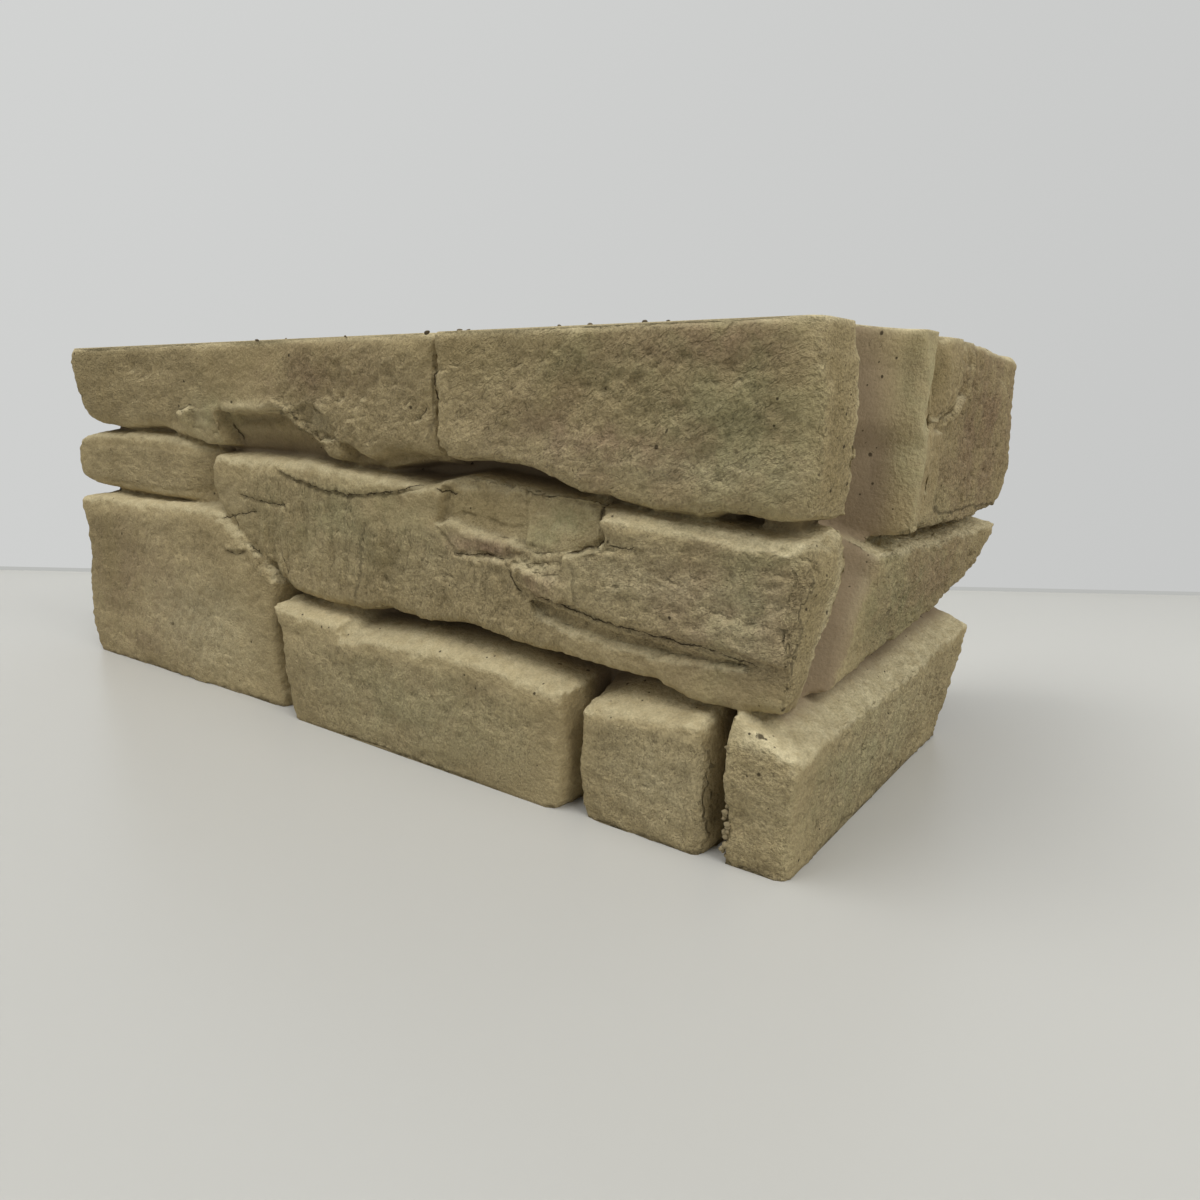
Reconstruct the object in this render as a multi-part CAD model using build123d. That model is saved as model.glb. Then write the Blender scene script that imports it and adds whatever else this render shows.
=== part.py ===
from build123d import *
import math
import os

# One cast stone corner piece: an L of two legs with three courses of raised stones.
# X runs along the long leg, Y along the short leg, Z up.
# The origin is the foot of the inner corner, where the two flat backs meet.

# Overall sizes, in millimetres
long_leg = 484.0
short_leg = 214.0
height = 200.0
slab = 19.0
relief = 26.0
slab_setback = 12.0
corner_core = 14.0

# Heights of the courses, measured at the corner
low_course = 50.0
low_gap = 12.0
mid_course = 62.0
high_gap = 8.0

# The upper joint climbs towards the free end of the long leg
joint_rise = 15.0

# The tall stone at that end stands through one and a half courses
tall_stone = 106.0
small_gap = 5.0

# Upright joints of the long leg, as distances from the inner corner
split_top = 138.0
split_mid = 322.0
split_tall = 262.0
split_low = 58.0
joint = 4.0

# Ends of the stones of the short leg, as distances from the inner corner
side_top_start = 14.0
side_mid_start = 10.0
side_low_end = 184.0

# Edges and surface steps of the stones
bevel = 4.0
top_bevel = 6.5
draft = 4.0
ledge_rise = 12.0
end_draft = 2.0
chip_depth = 8.0
step_depth = 4.0
lump = 3.0

face = slab + relief
root = slab - 2.0
mid_bottom = low_course + low_gap
mid_top = mid_bottom + mid_course
high_bottom = mid_top + high_gap
high_left = high_bottom + joint_rise
side_high = mid_top - 12.0
side_bed = high_bottom - 16.0
small_bottom = tall_stone + small_gap


def place(start, end, low, high, points):
    """Set an outline, given as shares of a stone's length and height, in its place."""
    return [
        (start + (end - start) * along, low + (high - low) * up) for along, up in points
    ]


def moved(points, side, top):
    """Move each corner of an outline inward, by another amount where the edge faces up."""
    area = sum(
        p[0] * q[1] - q[0] * p[1] for p, q in zip(points, points[1:] + points[:1])
    )
    turn = 1.0 if area > 0 else -1.0
    width = max(p[0] for p in points) - min(p[0] for p in points)
    rise = max(p[1] for p in points) - min(p[1] for p in points)
    side = min(side, 0.25 * width, 0.25 * rise)
    top = min(top, 0.25 * width, 0.25 * rise)
    result = []
    for i, here in enumerate(points):
        before = points[i - 1]
        after = points[(i + 1) % len(points)]
        normals = []
        for a, b in ((before, here), (here, after)):
            run = math.hypot(b[0] - a[0], b[1] - a[1])
            normals.append((turn * (b[1] - a[1]) / run, -turn * (b[0] - a[0]) / run))
        nx = normals[0][0] + normals[1][0]
        nz = normals[0][1] + normals[1][1]
        size = max(math.hypot(nx, nz), 1.0)
        upright = top if nz > 0 else side
        result.append((here[0] - side * nx / size, here[1] - upright * nz / size))
    return result


def section(points, depth, lean, skew, on_side):
    """Make one flat section of a stone, at a depth out from the wall."""
    middle = sum(p[0] for p in points) / len(points)
    corners = []
    for along, z in points:
        out = depth + lean * (z - height / 2) + skew * (along - middle)
        corners.append((out, along, z) if on_side else (along, -out, z))
    return make_face(Polyline(*corners, close=True))


def stone(
    points, out, lean=0.0, skew=0.0, on_side=False, top=top_bevel, taper=draft, back=draft, foot=None
):
    """Make a raised stone: a tapered body from the slab, a rounded edge and a face."""
    foot = foot or moved(points, -taper, -back)
    round_share = 1 - math.sqrt(0.5)
    layers = [
        section(foot, root, 0.0, 0.0, on_side),
        section(points, out - bevel, lean, skew, on_side),
        section(
            moved(points, bevel * round_share, top * round_share),
            out - bevel * round_share, lean, skew, on_side,
        ),
        section(moved(points, bevel, top), out, lean, skew, on_side),
    ]
    return loft(layers, ruled=True)


def patch(points, low, high, inset, lean=0.0, skew=0.0, on_side=False):
    """Make a raised or sunk patch between two depths, smaller at the second."""
    first = section(points, low, lean, skew, on_side)
    second = section(moved(points, inset, inset), high, lean, skew, on_side)
    return loft([first, second], ruled=True)


def block(x0, x1, y0, y1, z0, z1):
    """Make a box from its limits."""
    return Pos(x0, y0, z0) * Box(x1 - x0, y1 - y0, z1 - z0, align=(Align.MIN,) * 3)


# The backing slab, flat behind, ending a little inside the stones
long_slab = block(-long_leg + slab_setback, slab, -slab, 0, 0, height)
short_slab = block(0, slab, -slab, short_leg - slab_setback, 0, height)
body = long_slab + short_slab

# The core behind the upper joint, where the stones turn the corner beyond the slab
body += block(root, root + corner_core, -root - corner_core, -root, mid_top - draft, high_bottom + draft)

# Top course, long stone at the free end
top_left_end = -split_top - joint / 2
top_left = place(-long_leg, top_left_end, high_left, height, [
    (0.02, 1.15),
    (-0.006, 0.83),
    (0.012, 0.58),
    (0.022, 0.33),
    (0.045, 0.16),
    (0.09, 0.09),
    (0.155, 0.06),
    (0.31, 0.09),
    (0.35, 0.03),
    (0.45, -0.06),
    (0.64, -0.06),
    (0.79, -0.13),
    (0.88, -0.15),
    (0.955, -0.06),
    (1.0, -0.08),
    (1.008, 0.62),
    (0.99, 1.15),
])
left_stone = stone(top_left, face - 1, lean=-0.02)

# A weathered lump low on its face, beside the broken hollow
top_left_lump = place(-long_leg, top_left_end, high_left, height, [
    (0.37, 0.32),
    (0.42, 0.37),
    (0.465, 0.32),
    (0.5, 0.22),
    (0.51, 0.08),
    (0.495, -0.03),
    (0.44, -0.01),
    (0.385, 0.06),
    (0.36, 0.2),
])
left_stone += patch(top_left_lump, face - 6, face - 1 + lump, 4.5, lean=-0.02)

# The broken-away hollow beneath its wavy ridge
hollow = place(-long_leg, top_left_end, high_left, height, [
    (0.485, 0.3),
    (0.51, -0.25),
    (0.79, -0.3),
    (0.76, 0.02),
    (0.69, 0.28),
    (0.6, 0.325),
])
left_stone -= patch(hollow, face - 4, face - 4.4 * chip_depth, 2.0, lean=0.45)

# The scooped chip to the right of it
chip = place(-long_leg, top_left_end, high_left, height, [
    (0.685, 0.28),
    (0.735, 0.08),
    (0.79, 0.04),
    (0.805, 0.16),
    (0.77, 0.32),
    (0.73, 0.41),
])
left_stone -= patch(chip, face + 3, face - step_depth - 1, 4.0)

# The undercut below its right half
undercut = place(-long_leg, top_left_end, high_left, height, [
    (0.8, 0.08),
    (0.86, -0.03),
    (0.92, 0.06),
    (1.02, 0.02),
    (1.02, -0.6),
    (0.8, -0.6),
])
left_stone -= patch(undercut, face + 3, face - chip_depth - 4, 6.0)
body += left_stone

# Top course, stone that turns the corner and shows its end on the short side
top_right = place(-split_top + joint / 2, face, high_bottom, height, [
    (-0.03, 1.12),
    (0.0, 0.77),
    (-0.01, 0.3),
    (0.03, 0.19),
    (0.14, 0.19),
    (0.24, 0.18),
    (0.36, 0.1),
    (0.43, 0.04),
    (0.52, 0.02),
    (0.62, -0.02),
    (0.74, -0.03),
    (0.79, 0.01),
    (0.9, -0.02),
    (0.975, 0.01),
    (0.99, 0.3),
    (0.983, 0.68),
    (0.972, 1.12),
])
body += stone(top_right, face + 1, lean=-0.01, taper=end_draft)

# Middle course, small stone at the free end, turned away at its right end
mid_small = place(-long_leg, -split_mid - joint / 2, small_bottom, high_left, [
    (0.0, 0.83),
    (-0.03, 0.56),
    (-0.035, 0.33),
    (-0.01, 0.1),
    (0.09, 0.0),
    (0.4, -0.05),
    (0.97, -0.03),
    (1.0, 0.4),
    (0.98, 0.76),
    (0.88, 0.86),
    (0.76, 1.0),
    (0.5, 1.0),
    (0.15, 0.95),
])
mid_small_turn = place(-long_leg, -split_mid, small_bottom, high_left, [
    (0.8, 1.4),
    (0.76, 0.4),
    (0.7, -0.4),
    (1.12, -0.4),
    (1.12, 1.4),
])
body += stone(mid_small, face - 3, lean=-0.01, top=4.0) - patch(
    mid_small_turn, face + chip_depth, face - chip_depth - 1, 2.0, skew=-0.35
)

# Middle course, long stone that turns the corner and narrows to its lower end
mid_long_start = -split_mid + joint / 2
mid_long_left = place(mid_long_start, face, mid_bottom, mid_top, [
    (0.0, 1.22),
    (-0.012, 0.94),
    (0.01, 0.74),
    (0.035, 0.62),
    (0.08, 0.48),
    (0.145, 0.26),
    (0.2, 0.1),
    (0.26, 0.05),
    (0.34, 0.06),
    (0.39, 0.13),
    (0.46, 0.11),
    (0.54, 0.15),
    (0.6, 0.1),
    (0.66, 0.06),
    (0.74, 0.03),
    (0.82, 0.02),
    (0.86, -0.05),
])
mid_long_end = place(mid_long_start, face, mid_bottom, mid_top, [
    (0.97, -0.02),
    (0.978, 0.2),
    (0.985, 0.55),
    (0.99, 0.82),
    (0.982, 1.0),
])
mid_long_end_foot = place(mid_long_start, face, mid_bottom, mid_top, [
    (0.955, -0.08),
    (0.965, 0.15),
    (0.985, 0.5),
    (1.0, 0.85),
    (0.99, 1.06),
])
mid_long_top = place(mid_long_start, face, mid_bottom, mid_top, [
    (0.93, 1.02),
    (0.83, 1.06),
    (0.74, 1.09),
    (0.64, 1.15),
    (0.54, 1.2),
    (0.46, 1.12),
    (0.36, 1.16),
    (0.27, 1.2),
    (0.2, 1.22),
    (0.08, 1.23),
])
mid_long = mid_long_left + mid_long_end + mid_long_top
mid_long_foot = moved(mid_long, -draft, -draft)
first = len(mid_long_left)
last = first + len(mid_long_end)
mid_long_foot[first:last] = mid_long_end_foot
long_stone = stone(mid_long, face - 1, lean=-0.02, top=5.0, foot=mid_long_foot)

# Its split face: a sunk area with a deeper pocket, above a ledge
sunk_area = place(mid_long_start, face, mid_bottom, mid_top, [
    (0.5, 1.35),
    (0.5, 1.05),
    (0.485, 0.86),
    (0.53, 0.66),
    (0.6, 0.68),
    (0.645, 0.72),
    (0.7, 0.76),
    (0.755, 0.84),
    (0.758, 1.35),
])
pocket = place(mid_long_start, face, mid_bottom, mid_top, [
    (0.51, 1.35),
    (0.505, 1.0),
    (0.495, 0.9),
    (0.53, 0.92),
    (0.567, 0.9),
    (0.61, 0.85),
    (0.635, 0.9),
    (0.625, 1.35),
])
long_stone -= patch(sunk_area, face + 3, face - 1 - step_depth, 2.5, lean=-0.02)
long_stone -= patch(pocket, face + 3, face - 4 - step_depth, 3.0, lean=-0.02)

# The thicker slab of the same stone, standing over a hollow band
proud_part = place(mid_long_start, face, mid_bottom, mid_top, [
    (0.742, 1.05),
    (0.75, 0.93),
    (0.752, 0.84),
    (0.7, 0.77),
    (0.642, 0.7),
    (0.625, 0.6),
    (0.622, 0.52),
    (0.66, 0.45),
    (0.7, 0.42),
    (0.755, 0.36),
    (0.81, 0.33),
    (0.885, 0.32),
    (0.975, 0.27),
    (0.98, 0.55),
    (0.985, 0.85),
    (0.972, 0.97),
    (0.86, 1.03),
])
hollow_band = place(mid_long_start, face, mid_bottom, mid_top, [
    (0.64, 0.44),
    (0.7, 0.41),
    (0.755, 0.35),
    (0.81, 0.32),
    (0.885, 0.31),
    (0.955, 0.25),
    (0.885, 0.16),
    (0.81, 0.16),
    (0.755, 0.17),
    (0.7, 0.21),
    (0.65, 0.29),
])
long_stone += patch(proud_part, face - 6, face - 2 + step_depth, 2.5, lean=-0.02)
long_stone -= patch(hollow_band, face + 3, face - 1 - step_depth, 3.0, lean=-0.02)
body += long_stone

# Bottom course, tall stone at the free end
tall = place(-long_leg, -split_tall - joint / 2, 0, tall_stone, [
    (0.058, 0.98),
    (0.08, 0.77),
    (0.078, 0.58),
    (0.065, 0.34),
    (0.065, 0.18),
    (0.085, 0.07),
    (0.125, -0.08),
    (1.02, -0.08),
    (1.0, 0.13),
    (0.985, 0.3),
    (0.975, 0.56),
    (0.995, 0.65),
    (0.95, 0.8),
    (0.87, 0.9),
    (0.79, 0.98),
    (0.7, 1.01),
    (0.4, 0.99),
    (0.18, 1.0),
])
body += stone(tall, face + 3, lean=-0.03, skew=-0.03, top=9.0)

# Bottom course, middle stone, higher towards the tall stone
low_middle = place(-split_tall + joint / 2, -split_low - joint / 2, 0, low_course, [
    (0.0, 1.2),
    (0.03, 0.84),
    (0.04, 0.52),
    (0.06, 0.2),
    (0.1, -0.16),
    (0.985, -0.16),
    (1.0, 0.2),
    (1.0, 1.04),
    (0.82, 1.12),
    (0.6, 1.14),
    (0.37, 1.08),
    (0.315, 1.08),
    (0.27, 1.18),
    (0.12, 1.18),
])
middle_stone = stone(low_middle, face + 6, lean=-0.03, top=5.5, back=ledge_rise - 2)

# The notch in its top edge
notch = place(-split_tall, -split_low, 0, low_course, [
    (0.285, 1.7),
    (0.275, 1.15),
    (0.285, 1.0),
    (0.35, 1.04),
    (0.45, 1.2),
    (0.52, 1.7),
])
body += middle_stone - patch(notch, face - chip_depth, face - 4 * chip_depth - 4, 1.0, lean=-0.8)

# Bottom course, small stone beside the corner
low_small = place(-split_low, slab, 0, low_course, [
    (0.08, 0.94),
    (0.07, 0.4),
    (0.09, 0.12),
    (0.16, -0.16),
    (0.85, -0.16),
    (0.84, 0.4),
    (0.82, 1.06),
    (0.6, 1.04),
    (0.3, 1.02),
])
body += stone(low_small, face + 4, lean=-0.02, top=4.5, back=ledge_rise)

# Bottom course, stone of the short leg whose rough end closes the corner
corner_low = place(-face - 4, side_low_end, 0, low_course, [
    (0.0, 0.97),
    (-0.008, 0.62),
    (0.0, 0.32),
    (0.0, -0.16),
    (0.8, -0.16),
    (0.85, 0.16),
    (0.92, 0.5),
    (1.0, 0.82),
    (1.02, 1.04),
    (0.75, 1.02),
    (0.48, 0.93),
    (0.28, 0.97),
    (0.1, 0.97),
])
body += stone(
    corner_low, face, lean=0.03, on_side=True, top=4.5, taper=1.0, back=ledge_rise + 2
)

# Middle course on the short side, with its slanted ends and the smooth wall beside its left edge
side_wall = place(side_mid_start, short_leg, mid_bottom, side_high, [
    (0.01, 1.24),
    (0.0, 1.0),
    (-0.02, 0.72),
    (-0.05, 0.48),
    (-0.1, 0.14),
    (-0.12, -0.14),
])
side_middle_left = place(side_mid_start, short_leg, mid_bottom, side_high, [
    (0.07, 1.02),
    (0.055, 0.84),
    (0.015, 0.66),
    (-0.02, 0.46),
    (-0.055, 0.16),
    (-0.075, -0.06),
])
side_middle_right = place(side_mid_start, short_leg, mid_bottom, side_high, [
    (0.02, -0.04),
    (0.14, 0.06),
    (0.3, 0.1),
    (0.52, 0.14),
    (0.72, 0.3),
    (0.88, 0.48),
    (0.985, 0.74),
    (1.0, 0.88),
    (0.72, 0.9),
    (0.45, 0.95),
])
side_middle = side_middle_left + side_middle_right
side_middle_foot = side_wall + moved(side_middle, -draft, 2 - ledge_rise)[len(side_wall):]
body += stone(side_middle, face - 2, lean=0.12, skew=0.02, on_side=True, top=5.5, foot=side_middle_foot)

# Top course on the short side, with a long cove down to the stone that turns the corner
cove = place(side_top_start, short_leg, side_bed, height, [
    (-0.33, 1.1),
    (-0.2, 0.82),
    (-0.07, 0.58),
    (0.0, 0.42),
    (0.05, 0.22),
    (0.08, -0.04),
])
side_top_left = place(side_top_start, short_leg, side_bed, height, [
    (0.03, 1.1),
    (0.12, 0.83),
    (0.11, 0.58),
    (0.15, 0.46),
    (0.13, 0.26),
    (0.1, 0.05),
])
side_top_right = place(side_top_start, short_leg, side_bed, height, [
    (0.3, 0.03),
    (0.6, 0.0),
    (0.88, 0.01),
    (0.98, 0.1),
    (1.02, 0.22),
    (1.005, 0.5),
    (0.99, 0.72),
    (0.985, 0.86),
    (0.975, 0.97),
    (0.6, 0.99),
    (0.48, 1.01),
    (0.44, 1.1),
])
side_top = side_top_left + side_top_right
side_top_foot = cove + moved(side_top, -draft, -draft)[len(cove):]
side_stone = stone(side_top, face + 5, skew=-0.015, on_side=True, foot=side_top_foot)

# Its face, which lies a little behind the sharp edge beside the cove
side_face = place(side_top_start, short_leg, side_bed, height, [
    (0.21, 1.3),
    (0.205, 0.97),
    (0.18, 0.72),
    (0.205, 0.58),
    (0.22, 0.42),
    (0.225, 0.25),
    (0.19, 0.1),
    (0.15, -0.2),
    (1.2, -0.2),
    (1.2, 1.3),
])
side_stone -= patch(side_face, face + 10, face + 2, 0.6, skew=0.015, on_side=True)

# The tall hollow beside that edge, deepest at the edge
side_hollow = place(side_top_start, short_leg, side_bed, height, [
    (0.215, 1.3),
    (0.21, 0.95),
    (0.188, 0.72),
    (0.205, 0.57),
    (0.27, 0.56),
    (0.35, 0.7),
    (0.37, 0.9),
    (0.36, 1.3),
])
side_stone -= patch(side_hollow, face + 10, face - step_depth, 1.5, skew=0.25, on_side=True)
body += side_stone

# The beds are flat: everything ends at the floor line and at the top line
around = 60.0
limits = block(-long_leg - around, face + around, -face - around, short_leg + around, 0, height)
casting = body & limits

os.makedirs("parts", exist_ok=True)
export_step(casting.solid(), "parts/stone_corner.step")
print("volume", round(casting.volume / 1000), "cm3, solids", len(casting.solids()))
print("box", casting.bounding_box())
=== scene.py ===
"""Looks of a cast stone corner piece: its dressed faces, its finishes and the photograph's setting."""
import logging
import math
from dataclasses import dataclass
from enum import Enum
from typing import Any

import bmesh
import bpy
import numpy as np
from mathutils import Matrix, Vector


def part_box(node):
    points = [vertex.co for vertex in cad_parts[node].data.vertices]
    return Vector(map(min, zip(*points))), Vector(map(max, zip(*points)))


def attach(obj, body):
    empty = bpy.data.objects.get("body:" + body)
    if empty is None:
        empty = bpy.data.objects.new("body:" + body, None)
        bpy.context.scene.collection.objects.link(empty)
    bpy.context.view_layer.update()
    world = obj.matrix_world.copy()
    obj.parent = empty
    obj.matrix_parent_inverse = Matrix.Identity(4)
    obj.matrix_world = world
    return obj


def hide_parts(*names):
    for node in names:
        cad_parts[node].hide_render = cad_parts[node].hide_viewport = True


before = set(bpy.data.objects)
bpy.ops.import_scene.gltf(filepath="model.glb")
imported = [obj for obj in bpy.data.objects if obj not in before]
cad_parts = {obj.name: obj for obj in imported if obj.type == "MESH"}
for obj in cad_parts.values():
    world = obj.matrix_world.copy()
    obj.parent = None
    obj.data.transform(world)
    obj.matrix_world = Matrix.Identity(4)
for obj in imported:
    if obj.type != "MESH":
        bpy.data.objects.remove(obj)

log = logging.getLogger("stone_corner")

NODE = "stone_corner"
STONE_SHEEN = 0.2
MM = 0.001
# heights and distances of the casting, in millimetres
BACK = 1.0
BED = 0.8
TOP_BED = 199.2
PLAIN_TOP = 199.3
LOW_TOP = 52.0
COVE_FOOT = 58.0
CORNER = 14.0
JOINT_FLOOR = 24.0
FACE = 36.0
MOST_CUT = 6.0
Line = tuple[tuple[float, float], ...]


class Side(Enum):
    """The dressed side of the corner that a mark lies on."""

    LONG = "long"
    SHORT = "short"


class Cut(Enum):
    """How a line is worked into a dressed face."""

    CRACK = "crack"
    CREASE = "crease"
    RIDGE = "ridge"
    LEDGE = "ledge"


class Tone(Enum):
    """The colours that lie over the sand colour in soft patches. The last two only lighten or darken: the
    lightening is partly painted highlight and the darkening is painted shadow, and the olive patches in hollows are
    partly painted shade.
    """

    GREEN = 0
    PINK = 1
    OLIVE = 2
    PALE = 3
    DARK = 4


@dataclass(frozen=True)
class Mark:
    """A line on a dressed face.

    Its points are (along, up) in millimetres. Its height is negative where it goes into the stone.
    """

    kind: Cut
    height: float
    width: float
    points: Line
    side: Side = Side.LONG


@dataclass(frozen=True)
class Facet:
    """A small plane that a weathered face follows inside an outline.

    Its corners are (along, up, out) in millimetres, out being the distance from the wall behind.
    """

    corners: tuple[tuple[float, float, float], ...]
    blend: float = 1.2
    side: Side = Side.LONG


@dataclass(frozen=True)
class TonePatch:
    """A soft patch of another colour: its middle and reach (along, up) in millimetres."""

    tone: Tone
    middle: tuple[float, float]
    reach: tuple[float, float]
    strength: float
    side: Side = Side.LONG


@dataclass(frozen=True)
class Lay:
    """Scaly cleft texture that runs one way over part of a side.

    Its angle is in degrees up from level, its sizes are in millimetres, and its grain says how
    gritty that part is, from 0 to 1.
    """

    angle: float
    length: float
    width: float
    height: float
    grain: float
    middle: tuple[float, float]
    reach: tuple[float, float]
    side: Side = Side.LONG


@dataclass(frozen=True)
class Pit:
    """A pinhole: about where its middle is and its radius, in millimetres."""

    middle: tuple[float, float, float]
    radius: float


@dataclass(frozen=True)
class Crumb:
    """A loose crumb: its foot and its radius in millimetres."""

    foot: tuple[float, float, float]
    radius: float


# the sagging edge under the top ledge of the long middle stone
LEDGE_EDGE: Line = ((-250, 130), (-234, 127), (-219, 124), (-199, 124), (-178, 126), (-161, 129), (-151, 131),
                    (-141, 135))

MARKS: tuple[Mark, ...] = (
    # the long stone of the middle course: cracks under its top ledge and at its narrow end
    Mark(Cut.LEDGE, 1.5, 5.0, ((-266, 136), *LEDGE_EDGE)),
    Mark(Cut.CRACK, -0.9, 0.6, ((-262, 134), *LEDGE_EDGE)),
    Mark(Cut.CRACK, -0.7, 0.6, ((-142, 131), (-137, 130), (-130, 128))),
    Mark(Cut.CRACK, -0.8, 0.5, ((-297, 117), (-274, 115), (-254, 114), (-250, 110))),
    Mark(Cut.CRACK, -0.7, 0.5, ((-319, 101), (-302, 105), (-277, 109))),
    Mark(Cut.CRACK, -0.8, 0.6, ((-304, 106), (-302, 100), (-299, 95))),
    Mark(Cut.CRACK, -0.9, 0.8, ((-288, 89), (-281, 86), (-277, 82))),
    Mark(Cut.CRACK, -0.4, 0.4, ((-262, 98), (-259, 88), (-252, 76))),
    Mark(Cut.CREASE, -1.0, 1.8, ((-219, 123), (-216, 99), (-218, 86), (-208, 68))),
    Mark(Cut.CREASE, -0.9, 1.5, ((-204, 121), (-209, 104))),
    Mark(Cut.CREASE, -0.8, 1.5, ((-272, 108), (-270, 84))),
    Mark(Cut.CREASE, -1.3, 3.0, ((-180, 118), (-172, 96), (-178, 80))),
    Mark(Cut.RIDGE, 1.0, 1.2, ((-141, 113.5), (-134, 116.5), (-119, 112.5), (-103, 110.5), (-90, 110))),
    Mark(Cut.CRACK, -0.6, 0.7, ((-131, 102.5), (-119, 103), (-105, 104.5), (-97, 102))),
    Mark(Cut.RIDGE, 0.8, 1.2, ((-118, 100.5), (-105, 101.5), (-96, 99))),
    Mark(Cut.RIDGE, 0.8, 1.4, ((-94, 101), (-88, 101.5), (-80, 98))),
    Mark(Cut.CRACK, -0.8, 0.8, ((-96, 99), (-92, 93), (-84, 87.5))),
    Mark(Cut.CRACK, -1.2, 0.7, ((-86, 90), (-64, 87.5), (-44, 84), (-24, 82), (3, 81.5), (28, 77.5))),
    Mark(Cut.CRACK, -1.5, 1.8, ((-50, 132), (-50.5, 125), (-48, 120.5), (-47, 116), (-50, 113.5), (-57, 111.5),
                                (-65, 109))),
    Mark(Cut.CRACK, -0.6, 0.6, ((-42, 116), (-34, 115), (-28, 116))),
    # the joint between the two stones of the top course
    Mark(Cut.CRACK, -1.2, 1.0, ((-139, 203), (-140, 180), (-138, 160), (-137, 144), (-134, 136))),
    # the top course: the wavy lip over its hollow and the rim of the chip
    Mark(Cut.RIDGE, 2.4, 2.6, ((-313, 165.5), (-304, 163), (-276, 163.5), (-259, 166.5), (-245, 162.5),
                               (-239, 156), (-231, 149.5))),
    Mark(Cut.CREASE, -3.2, 3.0, ((-309, 159), (-300, 157.5), (-276, 158), (-259, 161), (-247, 156))),
    Mark(Cut.RIDGE, 0.9, 1.2, ((-244, 164), (-232, 168.5), (-219, 164.5), (-212, 156.5), (-208, 149))),
    Mark(Cut.CRACK, -1.2, 1.4, ((-312, 162), (-310, 155), (-308, 145))),
    Mark(Cut.CRACK, -0.6, 0.5, ((-145, 167), (-147, 164), (-150, 161))),
    Mark(Cut.RIDGE, 0.9, 3.0, ((-22, 160), (-7, 166), (5, 170), (16, 175))),
    # the tall stone
    Mark(Cut.LEDGE, 1.2, 5.0, ((-309, 85), (-289, 86))),
    Mark(Cut.CRACK, -0.5, 0.5, ((-310, 84), (-300, 83), (-290, 85))),
    # the short side
    Mark(Cut.RIDGE, 2.2, 1.6, ((102, 199), (105, 176), (83, 165)), Side.SHORT),
    Mark(Cut.CRACK, -0.6, 0.6, ((49, 203), (45, 188), (39.5, 168), (46.6, 161), (46, 148), (37, 120)),
         Side.SHORT),
    Mark(Cut.RIDGE, 1.8, 1.4, ((120, 199), (112, 182), (88, 166), (74, 160)), Side.SHORT),
    Mark(Cut.CREASE, -1.4, 3.0, ((70, 204), (66, 184), (60, 168)), Side.SHORT),
)

FACETS: tuple[Facet, ...] = (
    # the recess of the middle stone, the band below its lip, and the ramp to the thicker slab
    Facet(((-139, 115, 39.5), (-134, 117, 39.5), (-119, 113, 39.5), (-103, 111, 39.5), (-89, 111, 39.5),
           (-89, 133, 37.5), (-137, 132, 38.0))),
    Facet(((-141, 114, 43.4), (-134, 116.5, 43.4), (-119, 112.5, 43.2), (-103, 110.5, 42.8), (-89, 110.5, 42.0),
           (-89, 103, 43.0), (-95, 100, 44.0), (-105, 103, 44.0), (-119, 102, 44.0), (-133, 100, 43.8))),
    Facet(((-88, 133, 38.0), (-50, 133, 38.0), (-49, 115, 41.5), (-64, 109, 43.0), (-88, 111, 42.0))),
    Facet(((-90, 111, 42.0), (-64, 109, 43.2), (-60, 98, 46.5), (-82, 98.5, 45.8), (-94, 100, 44.4)), 2.5),
    Facet(((-65, 108.5, 46.0), (-57, 111, 47.0), (-50, 113, 47.0), (-46, 116, 47.0), (-42, 116, 47.0),
           (-44, 103, 47.0), (-64, 99, 46.5))),
    Facet(((-94, 101, 46.0), (-88, 102, 47.0), (-76, 98, 48.0), (-64, 93, 48.0), (-65, 89, 47.6),
           (-73, 89.5, 47.0), (-84, 93, 46.6), (-92, 96, 46.0)), 1.6),
    # the lump at the left of the broken hollow, and the shallow scoop at its right
    Facet(((-338, 163, 42.3), (-314, 163.5, 44.6), (-311, 152, 44.2), (-313, 143, 42.0), (-330, 142, 41.0),
           (-342, 152, 41.6)), 3.5),
    Facet(((-247, 163.3, 40.9), (-232, 168, 41.0), (-219, 162, 41.0), (-210, 150.5, 40.8), (-226, 149, 40.4),
           (-240, 156.5, 40.4)), 0.9),
    # the proud strip beside the cove, and the face behind it
    Facet(((28, 204, 51.2), (35, 180, 51.2), (34, 167, 51.2), (35, 122, 51.2), (37, 122, 51.2), (46, 148, 51.2),
           (46.6, 162, 51.2), (39.5, 168, 51.2), (45, 188, 51.2), (50, 204, 51.2)), 4.0, Side.SHORT),
    Facet(((50, 204, 47.5), (45, 188, 47.0), (39.5, 168, 47.0), (47, 162, 48.0), (62, 160, 49.4), (86, 170, 49.4),
           (98, 186, 49.0), (92, 204, 48.5)), 1.0, Side.SHORT),
    Facet(((46.6, 161, 49.2), (46, 148, 49.0), (38, 122, 48.6), (70, 122, 49.6), (74, 160, 49.8)), 1.0, Side.SHORT),
)

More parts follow.
